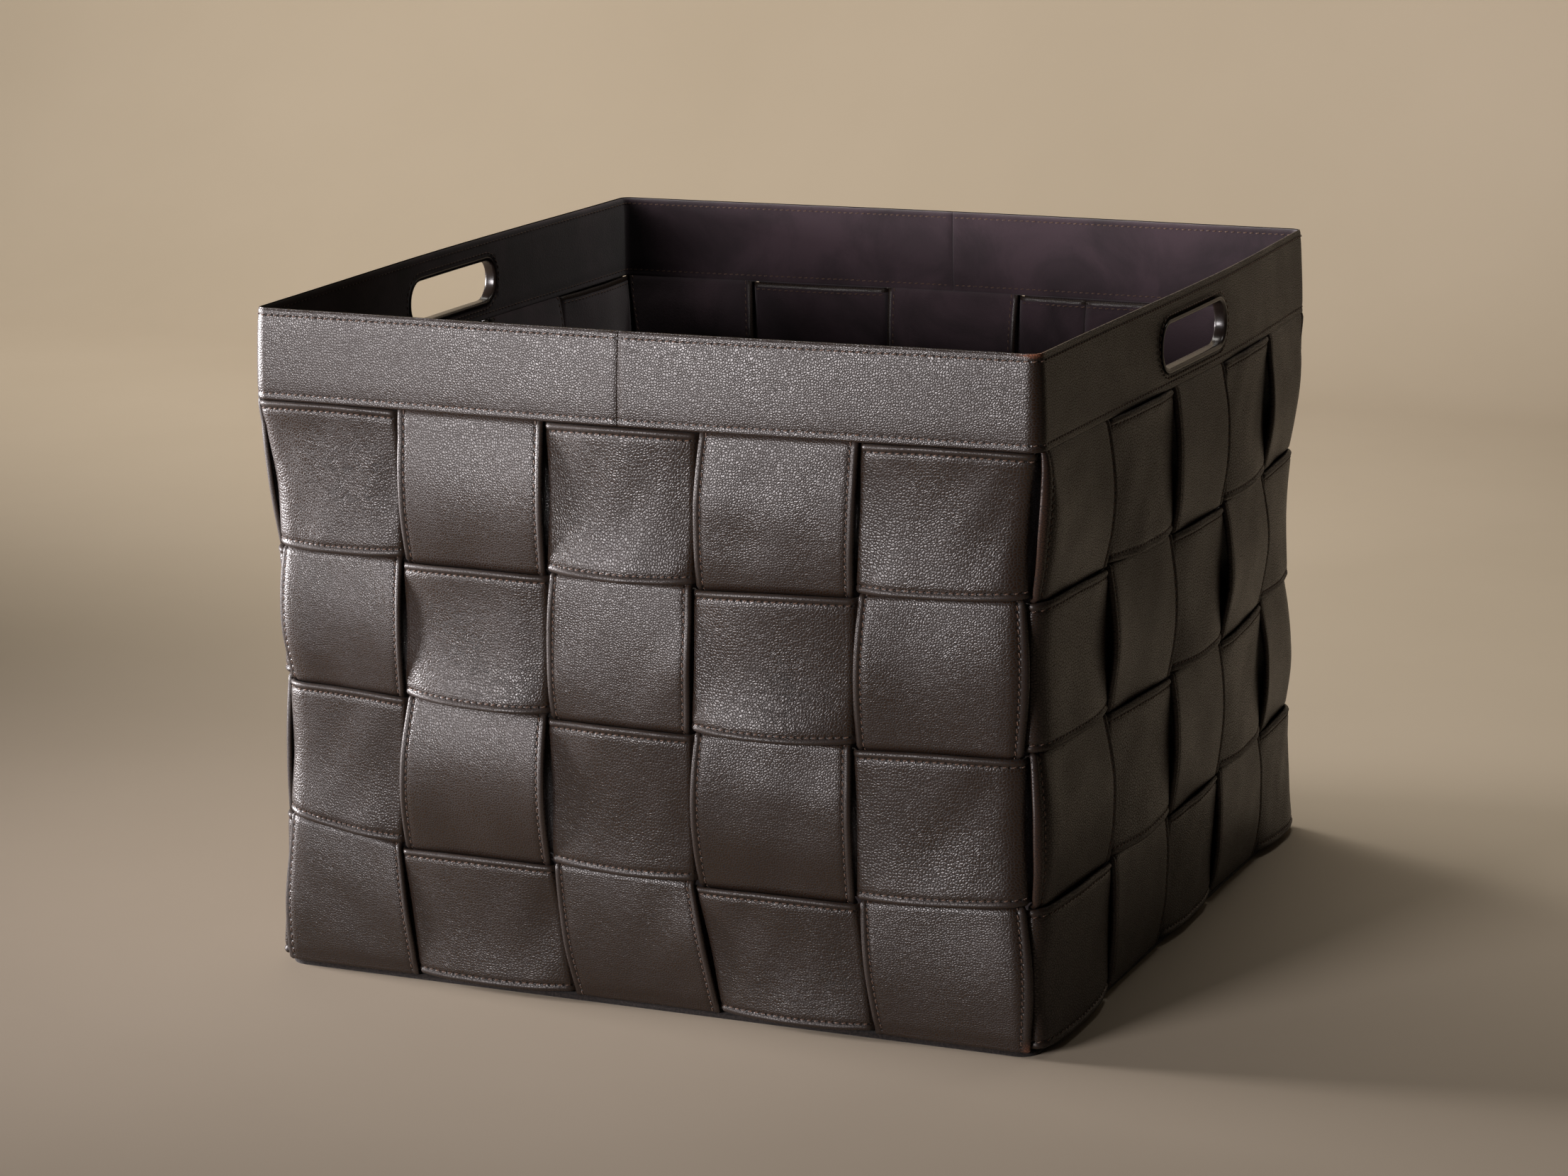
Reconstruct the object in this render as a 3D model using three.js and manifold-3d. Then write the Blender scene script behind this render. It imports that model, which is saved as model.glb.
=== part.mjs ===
// An open-topped storage basket of wide leather straps. Four bands run round it, and twenty
// upright straps pass over and under them. A stitched collar with two grip slots finishes the
// rim, and a board between a suede lining and a felt cover makes the floor.
//
// The frame is in millimetres with +Z up. The origin is the middle of the underside, and the
// front wall faces -Y. The four walls are drawn unrolled, then wrapped round the basket.
import * as THREE from 'three';
import { mergeVertices } from 'three/addons/utils/BufferGeometryUtils.js';
import Module from 'manifold-3d';

const wasm = await Module();
wasm.setup();

// Overall sizes. Width and depth are taken outside the collar, at its corners.
const basketWidth = 481;
const basketDepth = 498;
const basketHeight = 400;

// The soft walls belly outwards between their corners: this much at the rim, and this much
// more at half the height.
const rimBelly = 9;
const waistBelly = 6;

// The weave.
const columnsPerWall = 5;
const rowCount = 4;
const strapThickness = 3.4;
const skivedThickness = 1.6;
const strapGap = 3;
const weaveClearance = 0.8;
const weaveBulge = 3.5;
const tuckDepth = 8;
const turnedEndReach = 2.1;
const tightestCorner = 0.3;

// The collar.
const collarHeight = 54;
const collarLeather = 2.2;
const collarStiffener = 1.6;
const collarSuede = 1.8;
const liningDrop = 1;
const stiffenerDrop = 4;
const seamGap = 0.4;

// The grip slots, centred on the left and right walls. The margin is the leather left between
// the straps' tucked ends and a slot's facing.
const slotLength = 112;
const slotHeight = 26;
const slotRadius = 12;
const slotMargin = 2.9;
const facingThickness = 1.6;
const curveSteps = 3;

// The floor.
const coverThickness = 3;
const coverOverhang = 2;
const boardThickness = 3;
const floorSuede = 1.6;

// Clearances between layers that touch, and between the weave and what it runs up to.
const layerClearance = 0.3;
const edgeClearance = 0.5;

// Levels and offsets that follow from the sizes above. An offset is measured outwards from
// the middle of the wall.
const wallCount = 4;
const columnCount = wallCount * columnsPerWall;
const leatherInside = collarStiffener / 2 + layerClearance;
const leatherOutside = leatherInside + collarLeather;
const suedeOutside = -leatherInside;
const suedeInside = suedeOutside - collarSuede;
const halfWidth = basketWidth / 2 - leatherOutside;
const halfDepth = basketDepth / 2 - leatherOutside;
const collarBottom = basketHeight - collarHeight;
const turnedEndBottom = coverThickness + layerClearance;
const turnedEndTop = turnedEndBottom + skivedThickness;
const rowsBottom = turnedEndTop + edgeClearance;
const rowsTop = collarBottom - strapGap;
const rowPitch = (rowsTop - rowsBottom + strapGap) / rowCount;
const bandWidth = rowPitch - strapGap;
const strapOffset = (strapThickness + weaveClearance) / 2;
const weaveDepth = strapOffset + weaveBulge + strapThickness / 2;
const boardBottom = turnedEndTop + layerClearance;
const floorSuedeBottom = boardBottom + boardThickness + layerClearance;
const boardInset = weaveDepth + layerClearance;
const tuckTop = collarBottom + tuckDepth;
const slotMiddle = tuckTop + slotMargin + facingThickness + slotHeight / 2;

// The straps' lower ends are turned in under the board by turnedEndReach, all the way to the
// corners, so the corners are round enough to leave the ends tightestCorner there.
const turnedEnd = boardInset + turnedEndReach;
const cornerRadius = turnedEnd + tightestCorner;

const grainLeather = { color: '#40362f', roughness: 0.5, metalness: 0 };
const suede = { color: '#3b2b33', roughness: 0.95, metalness: 0 };
const leatherBoard = { color: '#5d4a3a', roughness: 0.85, metalness: 0 };
const felt = { color: '#1c1715', roughness: 1, metalness: 0 };

const basket = new THREE.Group();

function addPiece(name, geometry, finish) {
  const mesh = new THREE.Mesh(geometry, new THREE.MeshStandardMaterial(finish));
  mesh.name = name;
  basket.add(mesh);
}

// A row's lower edge, with row 0 at the top.
function rowBottom(row) {
  return rowsBottom + (rowCount - 1 - row) * rowPitch;
}

// The band is outside in the cells where row and column are both odd or both even.
function bandIsOutside(row, column) {
  return (row + column) % 2 === 0;
}

// How far the wall's middle stands out at a height. It is straight across each row, so that
// a band stays flat across its width.
const bellyLevels = [0];
for (let row = rowCount - 2; row >= 0; row -= 1) {
  bellyLevels.push(rowBottom(row) - strapGap / 2);
}
bellyLevels.push(collarBottom, basketHeight);

function smoothBelly(z) {
  const share = z / basketHeight;
  return rimBelly * share + waistBelly * 4 * share * (1 - share);
}

function bellyAt(z) {
  const above = Math.max(1, bellyLevels.findIndex((level) => level >= z));
  const low = bellyLevels[above - 1];
  const high = bellyLevels[above];
  return THREE.MathUtils.mapLinear(z, low, high, smoothBelly(low), smoothBelly(high));
}

// Half of a wall's length from one corner's middle to the next, round half of each corner.
function halfRun(wall) {
  const half = wall % 2 === 0 ? halfWidth : halfDepth;
  return half - cornerRadius + cornerRadius * Math.PI / 4;
}

// Turns unrolled places into places on the basket. Along counts columns from the corner to
// the left of the front wall, round to the right. Out is the offset from the wall's middle.
function onWall(along, out, z) {
  const wall = Math.floor(along / columnsPerWall) % wallCount;
  const share = along / columnsPerWall - Math.floor(along / columnsPerWall);
  const run = (2 * share - 1) * halfRun(wall);
  const half = wall % 2 === 0 ? halfWidth : halfDepth;
  const reach = wall % 2 === 0 ? halfDepth : halfWidth;
  const flat = Math.min(Math.abs(run), half - cornerRadius);
  const turn = (Math.abs(run) - flat) / cornerRadius;
  const sideways = Math.sign(run) * (flat + (cornerRadius + out) * Math.sin(turn));
  const outwards = reach - cornerRadius + (cornerRadius + out) * Math.cos(turn);
  const belly = bellyAt(z) * Math.cos(Math.PI * sideways / (2 * half)) ** 2;
  const place = new THREE.Vector3(sideways, -(outwards + belly), z);
  return place.applyAxisAngle(new THREE.Vector3(0, 0, 1), wall * Math.PI / 2);
}

function columnPitch(wall) {
  return 2 * halfRun(wall) / columnsPerWall;
}

// The share of a column that its strap covers. The rest is the gap to the next strap.
function strapShare(column) {
  const wall = Math.floor(column / columnsPerWall) % wallCount;
  return 1 - strapGap / columnPitch(wall);
}

// Places along the wall where strips bend: both edges and the middle of each strap.
function stationsBetween(start, end) {
  const stations = [start];
  for (let column = Math.floor(start); column <= Math.floor(end); column += 1) {
    const half = strapShare(column) / 2;
    const middle = column + 0.5;
    const bends = [middle - half, middle, middle + half];
    stations.push(...bends.filter((place) => place > start && place < end));
  }
  stations.push(end);
  return stations;
}

// Sweeps a section of [offset, height] points along the wall through the given stations. The
// section is drawn with its outside to the left, so that it faces outwards once it is wrapped.
// shift moves the section outwards at each station.
function sweepAlongWall(section, stations, shift = () => 0) {
  const shape = new THREE.Shape(section.map(([out, z]) => new THREE.Vector2(-out, z)));
  const steps = stations.length - 1;
  const geometry = new THREE.ExtrudeGeometry(shape, { depth: steps, steps, bevelEnabled: false });
  const position = geometry.attributes.position;
  for (let index = 0; index < position.count; index += 1) {
    const along = stations[Math.round(position.getZ(index))];
    const out = shift(along) - position.getX(index);
    const place = onWall(along, out, position.getY(index));
    position.setXYZ(index, place.x, place.y, place.z);
  }
  geometry.computeVertexNormals();
  return geometry;
}

function rectangle(inside, outside, bottom, top) {
  return [[inside, bottom], [outside, bottom], [outside, top], [inside, top]];
}

// Corners nearer than this are one corner.
const weldDistance = 1e-4;

function toManifold(geometry) {
  const bare = geometry.clone();
  bare.deleteAttribute('normal');
  bare.deleteAttribute('uv');
  const merged = mergeVertices(bare, weldDistance);
  return new wasm.Manifold(new wasm.Mesh({
    numProp: 3,
    vertProperties: new Float32Array(merged.attributes.position.array),
    triVerts: new Uint32Array(merged.index.array),
  }));
}

function fromManifold(solid) {
  const { vertProperties, triVerts } = solid.getMesh();
  const geometry = new THREE.BufferGeometry();
  geometry.setAttribute('position', new THREE.BufferAttribute(vertProperties, 3));
  geometry.setIndex(new THREE.BufferAttribute(triVerts, 1));
  geometry.computeVertexNormals();
  return geometry;
}

// A band runs once round the basket. Its two ends meet behind an upright strap at the back.
function bandGeometry(row) {
  const backColumn = 2 * columnsPerWall + 1;
  const seamColumn = bandIsOutside(row, backColumn) ? backColumn + 1 : backColumn;
  const seamHalf = seamGap / 2 / columnPitch(2);
  const start = seamColumn + 0.5 + seamHalf;
  const stations = stationsBetween(start, start + columnCount - 2 * seamHalf);
  const bottom = rowBottom(row);
  const half = strapThickness / 2;
  return sweepAlongWall(rectangle(-half, half, bottom, bottom + bandWidth), stations, (along) => {
    const column = Math.floor(along);
    const across = (along - column - 0.5) / strapShare(column);
    const offset = strapOffset + weaveBulge * Math.cos(Math.PI * across);
    return bandIsOutside(row, column) ? offset : -offset;
  });
}

// Heights and middle offsets of an upright strap, from its tucked top to the lowest band.
function strapCourse(column) {
  const course = [
    { z: tuckTop, offset: 0, thickness: skivedThickness },
    { z: collarBottom - edgeClearance, offset: 0, thickness: skivedThickness },
  ];
  for (let row = 0; row < rowCount; row += 1) {
    const side = bandIsOutside(row, column) ? -1 : 1;
    for (const [share, offset] of [[1, strapOffset], [0.5, strapOffset + weaveBulge], [0, strapOffset]]) {
      const z = rowBottom(row) + share * bandWidth;
      course.push({ z, offset: side * offset, thickness: strapThickness });
    }
  }
  return course;
}

// An upright strap is tucked up inside the collar, and its lower end is turned in under the
// floor board.
function strapGeometry(column) {
  const course = strapCourse(column);
  const outer = course.map(({ z, offset, thickness }) => [offset + thickness / 2, z]);
  const inner = course.map(({ z, offset, thickness }) => [offset - thickness / 2, z]);
  const [outerOffset] = outer[outer.length - 1];
  const [innerOffset] = inner[inner.length - 1];
  const turned = [
    [outerOffset, turnedEndBottom],
    [-turnedEnd, turnedEndBottom],
    [-turnedEnd, turnedEndTop],
    [innerOffset, turnedEndTop],
  ];
  const half = strapShare(column) / 2;
  const middle = column + 0.5;
  const stations = [middle - half, middle, middle + half];
  return sweepAlongWall([...outer, ...turned, ...inner.reverse()], stations);
}

// An oblong with rounded ends, drawn along a wall and up it.
function slotOutline(Outline, growth) {
  const long = slotLength / 2 + growth;
  const tall = slotHeight / 2 + growth;
  const radius = slotRadius + growth;
  const outline = new Outline();
  outline.absarc(long - radius, tall - radius, radius, 0, Math.PI / 2);
  outline.absarc(radius - long, tall - radius, radius, Math.PI / 2, Math.PI);
  outline.absarc(radius - long, radius - tall, radius, Math.PI, 1.5 * Math.PI);
  outline.absarc(long - radius, radius - tall, radius, 1.5 * Math.PI, 2 * Math.PI);
  return outline;
}

// The cut for a slot and its facing, straight through both side walls.
function slotCutter() {
  const outline = slotOutline(THREE.Shape, facingThickness + layerClearance);
  const depth = 2 * basketWidth;
  const cutter = new THREE.ExtrudeGeometry(outline, { depth, curveSegments: curveSteps, bevelEnabled: false });
  cutter.translate(0, 0, -basketWidth);
  cutter.rotateX(Math.PI / 2);
  cutter.rotateZ(Math.PI / 2);
  cutter.translate(0, 0, slotMiddle);
  return toManifold(cutter);
}

// The leather facing that lines a slot through the collar's thickness.
function facingGeometry(wall) {
  const outline = slotOutline(THREE.Shape, facingThickness);
  outline.holes.push(slotOutline(THREE.Path, 0));
  const depth = leatherOutside - suedeInside;
  const geometry = new THREE.ExtrudeGeometry(outline, { depth, curveSegments: curveSteps, bevelEnabled: false });
  const position = geometry.attributes.position;
  const wallMiddle = (wall + 0.5) * columnsPerWall;
  for (let index = 0; index < position.count; index += 1) {
    const z = slotMiddle + position.getY(index);
    const along = wallMiddle + position.getX(index) / columnPitch(wall);
    const place = onWall(along, suedeInside + position.getZ(index), z);
    position.setXYZ(index, place.x, place.y, place.z);
  }
  geometry.computeVertexNormals();
  return geometry;
}

// One layer of half of the collar, from the seam at the middle of the front or back to the
// seam at the other, with its grip slot cut.
function collarLayer(startWall, inside, outside, bottom, top, cutter) {
  const seamHalf = seamGap / 2 / columnPitch(startWall);
  const start = (startWall + 0.5) * columnsPerWall + seamHalf;
  const end = (startWall + 2.5) * columnsPerWall - seamHalf;
  const band = sweepAlongWall(rectangle(inside, outside, bottom, top), stationsBetween(start, end));
  return fromManifold(toManifold(band).subtract(cutter));
}

// A flat plate that fills the basket's plan out to an offset from the walls' middle.
function plateGeometry(out, bottom, thickness) {
  const x = halfWidth + out;
  const y = halfDepth + out;
  const radius = cornerRadius + out;
  const outline = new THREE.Shape();
  outline.absarc(x - radius, y - radius, radius, 0, Math.PI / 2);
  outline.absarc(radius - x, y - radius, radius, Math.PI / 2, Math.PI);
  outline.absarc(radius - x, radius - y, radius, Math.PI, 1.5 * Math.PI);
  outline.absarc(x - radius, radius - y, radius, 1.5 * Math.PI, 2 * Math.PI);
  const plate = new THREE.ExtrudeGeometry(outline, {
    depth: thickness,
    curveSegments: curveSteps,
    bevelEnabled: false,
  });
  plate.translate(0, 0, bottom);
  return plate;
}

function addWeave() {
  const wallNames = ['front', 'right', 'back', 'left'];
  for (let row = 0; row < rowCount; row += 1) {
    addPiece(`band_${row + 1}`, bandGeometry(row), grainLeather);
  }
  for (let column = 0; column < columnCount; column += 1) {
    const wallName = wallNames[Math.floor(column / columnsPerWall)];
    const name = `strap_${wallName}_${column % columnsPerWall + 1}`;
    addPiece(name, strapGeometry(column), grainLeather);
  }
}

function addCollar() {
  const cutter = slotCutter();
  const stiffenerBottom = tuckTop + edgeClearance;
  const stiffenerTop = basketHeight - stiffenerDrop;
  const suedeTop = basketHeight - liningDrop;
  for (const [side, startWall, wall] of [['right', 0, 1], ['left', 2, 3]]) {
    const leather = collarLayer(startWall, leatherInside, leatherOutside, collarBottom, basketHeight, cutter);
    const half = collarStiffener / 2;
    const stiffener = collarLayer(startWall, -half, half, stiffenerBottom, stiffenerTop, cutter);
    const lining = collarLayer(startWall, suedeInside, suedeOutside, collarBottom, suedeTop, cutter);
    addPiece(`collar_leather_${side}`, leather, grainLeather);
    addPiece(`collar_stiffener_${side}`, stiffener, leatherBoard);
    addPiece(`collar_lining_${side}`, lining, suede);
    addPiece(`grip_facing_${side}`, facingGeometry(wall), grainLeather);
  }
}

function addFloor() {
  addPiece('base_cover', plateGeometry(coverOverhang, 0, coverThickness), felt);
  addPiece('base_board', plateGeometry(-boardInset, boardBottom, boardThickness), leatherBoard);
  addPiece('base_lining', plateGeometry(-boardInset, floorSuedeBottom, floorSuede), suede);
}

addWeave();
addCollar();
addFloor();

export default basket;
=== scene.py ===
# %% [markdown]
# # A woven leather storage basket
#
# Four wide leather bands run round the basket, and twenty upright leather straps pass over and
# under them. A stitched collar with two grip slots finishes the rim, and a stiff board between
# suede and felt makes the floor. Every strap is two skins sewn together: grain leather outside
# and suede inside.
#
# The basket is soft, but it was woven tight and holds its own shape, so each strap is drawn
# straight from its path through the weave. A cloth simulation would have to find the weave
# again, and would lose the narrow rolled edges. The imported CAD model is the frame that
# everything is measured from.

import math

import bmesh
import bpy
import numpy as np
from mathutils import Matrix, Vector


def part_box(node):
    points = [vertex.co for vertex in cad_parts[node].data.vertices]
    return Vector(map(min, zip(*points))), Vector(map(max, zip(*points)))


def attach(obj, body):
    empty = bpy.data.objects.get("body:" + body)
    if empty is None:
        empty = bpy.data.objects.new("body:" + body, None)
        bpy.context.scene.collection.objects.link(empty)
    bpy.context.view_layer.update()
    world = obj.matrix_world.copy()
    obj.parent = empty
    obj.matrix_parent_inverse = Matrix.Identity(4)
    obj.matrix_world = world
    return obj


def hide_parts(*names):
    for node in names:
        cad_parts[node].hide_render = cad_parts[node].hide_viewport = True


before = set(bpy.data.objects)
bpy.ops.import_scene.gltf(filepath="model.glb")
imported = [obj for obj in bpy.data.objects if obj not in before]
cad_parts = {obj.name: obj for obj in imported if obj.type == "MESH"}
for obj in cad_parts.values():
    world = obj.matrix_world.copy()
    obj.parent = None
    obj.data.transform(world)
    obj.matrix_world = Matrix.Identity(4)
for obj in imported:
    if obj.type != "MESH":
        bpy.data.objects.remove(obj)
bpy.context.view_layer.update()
print("CAD nodes:", len(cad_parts))

# %% [markdown]
# ## Measures
#
# Leather is cut and sewn in millimetres, so the arithmetic below is in millimetres, and one
# function turns finished points into Blender's metres. The sizes of the basket itself come
# from the CAD boxes, so that the looks can't drift away from the part that they dress.

# %% Read the basket's sizes from the frame
MM = 0.001


def box_mm(node):
    """The lowest and highest corner of a CAD node, in millimetres."""
    low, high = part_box(node)
    return np.array(low) / MM, np.array(high) / MM


cover_high = box_mm("base_cover")[1]
COVER_OVERHANG = 2.0
HALF_WIDTH = cover_high[0] - COVER_OVERHANG
HALF_DEPTH = cover_high[1] - COVER_OVERHANG

bands = [box_mm(f"band_{row + 1}") for row in range(4)]
ROW_LOW = np.array([low[2] for low, high in bands])
ROW_HIGH = np.array([high[2] for low, high in bands])
TUCK_TOP = box_mm("strap_front_1")[1][2]
COLLAR_BOTTOM = box_mm("collar_leather_right")[0][2]
RIM = box_mm("collar_leather_right")[1][2]
print("half width and depth", HALF_WIDTH, HALF_DEPTH, "rows", ROW_LOW, ROW_HIGH, "rim", RIM)

# %% [markdown]
# ## One wall, unrolled
#
# A weaver thinks of the wall as one long flat strip: a place along it, a height, and whether a
# strap lies in front of the middle or behind it. The basket is drawn in the same way, and one
# function then wraps the strip round four walls. The walls are soft, so they belly outwards
# between the corners, the front most of all and lowest down. The corners are rounder and drawn
# in at half the height, and crisp where the stiff collar and the floor hold them out.
#
# The wrap could also be done with a curve modifier, but a formula lets stitches, straps and
# collar all land on exactly the same surface.

# %% Wrap unrolled places round the basket
COLUMNS = 5
WALLS = 4
RIM_BELLY = 9.0
WAIST_BELLY = 6.0
BELLY_PEAK = np.array([0.0, 0.22, 0.0, 0.0])
FRONT_SLACK = 6.0
SLACK_HEIGHT, SLACK_SPAN = 165.0, 95.0
FLOOR_RADIUS, WEAVE_ROUNDER, COLLAR_CRISPER = 10.0, 7.0, 4.0
PINCH_HEIGHTS = [0.0, 60.0, 130.0, 172.0, 258.0, 330.0, 346.0]
PINCHES = [-2.6, -1.5, 1.5, 2.0, 0.4, -1.8, -4.0]


def smooth_step(value, start, end):
    """Goes smoothly from 0 at start to 1 at end."""
    share = np.clip((value - start) / (end - start), 0.0, 1.0)
    return share * share * (3.0 - 2.0 * share)


def corner_radius(z):
    """Crisp under the collar, rounder in the weave and fairly crisp again at the floor."""
    weave = smooth_step(z, 5.0, 90.0) * smooth_step(z, 343.0, 280.0)
    collar = smooth_step(z, 300.0, 343.0)
    return FLOOR_RADIUS + WEAVE_ROUNDER * weave - COLLAR_CRISPER * collar


def belly(wall, share, z):
    """How far the wall stands out. Share goes from -1 at its left corner to 1 at its right."""
    level = z / RIM
    amount = RIM_BELLY * level + WAIST_BELLY * 4.0 * level * (1.0 - level) + pinch(z)
    peak = BELLY_PEAK[wall]
    share = (share - peak) / (1.0 - share * peak)
    bow = np.cos(np.pi / 2.0 * np.clip(share, -1.0, 1.0))
    slack = FRONT_SLACK * np.exp(-(((z - SLACK_HEIGHT) / SLACK_SPAN) ** 2)) * (wall == 0)
    return amount * (0.65 * bow**2 + 0.35 * bow) + slack * bow**2


def pinch(z):
    """How far the corners are drawn in: out at the stiff collar and floor, in at the waist."""
    return np.interp(z, PINCH_HEIGHTS, PINCHES)


def on_wall(along, out, z):
    """Along counts columns from the front's left corner. Out is measured from the wall's middle."""
    along, out, z = np.broadcast_arrays(along, out, z)
    wall = np.floor(along / COLUMNS).astype(int) % WALLS
    share = along / COLUMNS - np.floor(along / COLUMNS)
    half = np.where(wall % 2 == 0, HALF_WIDTH, HALF_DEPTH) - pinch(z)
    reach = np.where(wall % 2 == 0, HALF_DEPTH, HALF_WIDTH) - pinch(z)
    radius = corner_radius(z)
    run = (2.0 * share - 1.0) * (half - radius + radius * np.pi / 4.0)
    flat = np.minimum(np.abs(run), half - radius)
    turn = (np.abs(run) - flat) / radius
    sideways = np.sign(run) * (flat + (radius + out) * np.sin(turn))
    outwards = reach - radius + (radius + out) * np.cos(turn)
    outwards = outwards + belly(wall, sideways / half, z)
    angle = wall * np.pi / 2.0
    x = sideways * np.cos(angle) + outwards * np.sin(angle)
    y = sideways * np.sin(angle) - outwards * np.cos(angle)
    return np.stack([x, y, z + np.zeros_like(x)], axis=-1)


front_middle = on_wall(2.5, 0.0, RIM)
print("front wall's middle at the rim, in mm:", np.round(front_middle, 1))

# %% [markdown]
# ## Mesh maker
#
# Straps, bands, collar and bindings are all sweeps: a closed section carried along a path. A
# curve with a bevel could do it too, but here each point carries more than its place: its
# distance from the sewn edge, how creased the leather is and how far along the strap it lies.
# The leather's own pattern is drawn from those, so it follows every bend.

# %% Turn rings of points into a closed mesh
def ring_faces(count, around, closed):
    """Quads between neighbouring rings, as vertex numbers."""
    ring = np.arange(count if closed else count - 1)[:, None]
    point = np.arange(around)[None, :]
    following = (point + 1) % around
    beyond = (ring + 1) % count
    corners = [ring * around + point, ring * around + following]
    corners += [beyond * around + following, beyond * around + point]
    return np.stack(np.broadcast_arrays(*corners), axis=-1).reshape(-1, 4)


def make_piece(name, points, faces, materials, caps=(), pattern=None, marks=None, second=None):
    """A mesh from points in mm. Pattern is each point's place on the flat leather, in metres."""
    mesh = bpy.data.meshes.new(name)
    mesh.from_pydata((points.reshape(-1, 3) * MM).tolist(), [], faces.tolist() + list(caps))
    if second is not None:
        numbers = np.zeros(len(mesh.polygons), dtype=np.int32)
        numbers[: len(second)] = second
        mesh.polygons.foreach_set("material_index", numbers)
    corner = np.zeros(len(mesh.loops), dtype=np.int32)
    mesh.loops.foreach_get("vertex_index", corner)
    if pattern is not None:
        flat = pattern.reshape(-1, 2).astype(np.float32)
        mesh.uv_layers.new(name="leather").data.foreach_set("uv", flat[corner].ravel())
    for mark, values in (marks or {}).items():
        attribute = mesh.attributes.new(mark, "FLOAT", "POINT")
        attribute.data.foreach_set("value", values.ravel().astype(np.float32))
    work = bmesh.new()
    work.from_mesh(mesh)
    bmesh.ops.recalc_face_normals(work, faces=work.faces)
    work.to_mesh(mesh)
    work.free()
    mesh.polygons.foreach_set("use_smooth", np.ones(len(mesh.polygons), dtype=bool))
    for material in materials:
        mesh.materials.append(material)
    piece = bpy.data.objects.new(name, mesh)
    bpy.context.scene.collection.objects.link(piece)
    return piece


def settle(piece, slot, *nodes):
    """The piece stands still with the basket's one body, and stands for these CAD nodes."""
    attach(piece, "root")
    if nodes:
        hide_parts(*nodes)


# %% [markdown]
# ## Nodes and colours
#
# Each finish below is built from nodes. One small helper adds a node, sets it up and links it.
# Colours are written as the hex values that a colour picker shows, and turned to the linear
# values that the renderer adds and multiplies.

# %% Add a node, and read a hex colour
def linear(code):
    """An sRGB hex colour as linear RGBA."""
    parts = [int(code[place : place + 2], 16) / 255.0 for place in (1, 3, 5)]
    light = [part / 12.92 if part <= 0.04045 else ((part + 0.055) / 1.055) ** 2.4 for part in parts]
    return (*light, 1.0)


def add_node(tree, kind, settings=None, inputs=None):
    """Adds one node. Settings are its own options, and inputs are values or linked sockets."""
    node = tree.nodes.new(kind)
    for name, value in (settings or {}).items():
        setattr(node, name, value)
    for name, value in (inputs or {}).items():
        if isinstance(value, bpy.types.NodeSocket):
            tree.links.new(value, node.inputs[name])
        else:
            node.inputs[name].default_value = value
    return node


def new_finish(name):
    """A material with only its output, ready for a finish to be built."""
    material = bpy.data.materials.new(name)
    material.use_nodes = True
    material.node_tree.nodes.clear()
    return material, material.node_tree


# %% [markdown]
# ## Grain leather
#
# The outside is full-grain cowhide, tumbled until the grain rises in small round pebbles with
# fine valleys between them, then dyed a very dark brown and finished with a soft wax. The eye
# reads three things: the pebbles, 1 to 2 mm across; creases where the leather has been bent; and
# a broad dull shine that is brighter on the pebble tops than in the valleys.
#
# The pebbles are a cell pattern on the flat leather, bent out of its regular shape by noise.
# They are drawn a little coarser than the finest real ones so that they show. Along sewn edges
# the awl's holes are drawn between the stitches. Wear takes the dye off the proud edges and
# leaves paler brown hide.

# %% Name what the leather's parts share
STITCH_PITCH = 4.2
STITCH_INSET = 4.3
MATH = "ShaderNodeMath"
MAP_RANGE = "ShaderNodeMapRange"
print("stitches to the inch:", round(25.4 / STITCH_PITCH, 1))


# %% [markdown]
# ### Pebbles
#
# A cell pattern gives the distance to the nearest cell edge. A wide ramp of it makes round domes
# for the height, and a narrow ramp tells tops from valleys for shine and for the painted shade
# that darkens the valleys. A second pattern, with cells less than half as wide, adds a little of
# the finest grain.

# %% Draw the pebbles
def pebble_pattern(tree, place, pebble_size):
    """The sockets for domes, tops and fine grain. The size is in millimetres."""
    drift = add_node(
        tree,
        "ShaderNodeTexNoise",
        {"noise_dimensions": "2D"},
        {"Vector": place, "Scale": 0.3 / (pebble_size * MM), "Detail": 3.0, "Roughness": 0.6},
    )
    reach = pebble_size * MM * 1.6
    bent = add_node(
        tree,
        "ShaderNodeVectorMath",
        {"operation": "MULTIPLY_ADD"},
        {0: drift.outputs["Color"], 1: (reach, reach, 0.0), 2: place},
    )
    cells = add_node(
        tree,
        "ShaderNodeTexVoronoi",
        {"voronoi_dimensions": "2D", "feature": "DISTANCE_TO_EDGE"},
        {"Vector": bent.outputs["Vector"], "Scale": 1.0 / (pebble_size * MM), "Randomness": 0.9},
    )
    domes = add_node(
        tree,
        MAP_RANGE,
        {"interpolation_type": "SMOOTHSTEP"},
        {"Value": cells.outputs["Distance"], "From Min": -0.05, "From Max": 0.42},
    )
    pebbles = add_node(
        tree,
        MAP_RANGE,
        {"interpolation_type": "SMOOTHSTEP"},
        {"Value": cells.outputs["Distance"], "From Min": 0.0, "From Max": 0.16},
    )
    fine_cells = add_node(
        tree,
        "ShaderNodeTexVoronoi",
        {"voronoi_dimensions": "2D", "feature": "DISTANCE_TO_EDGE"},
        {"Vector": bent.outputs["Vector"], "Scale": 2.3 / (pebble_size * MM), "Randomness": 1.0},
    )
    fine = add_node(
        tree,
        MAP_RANGE,
        {"interpolation_type": "SMOOTHSTEP"},
        {"Value": fine_cells.outputs["Distance"], "From Min": 0.0, "From Max": 0.2},
    )
    return domes.outputs["Result"], pebbles.outputs["Result"], fine.outputs["Result"]


# %% [markdown]
# ### Creases
#
# Bent leather wrinkles in lines that wander mostly lengthways. They are the lines where a
# stretched noise passes its middle value, and a mark on the mesh says where the leather has been
# bent enough for them to show.

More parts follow.
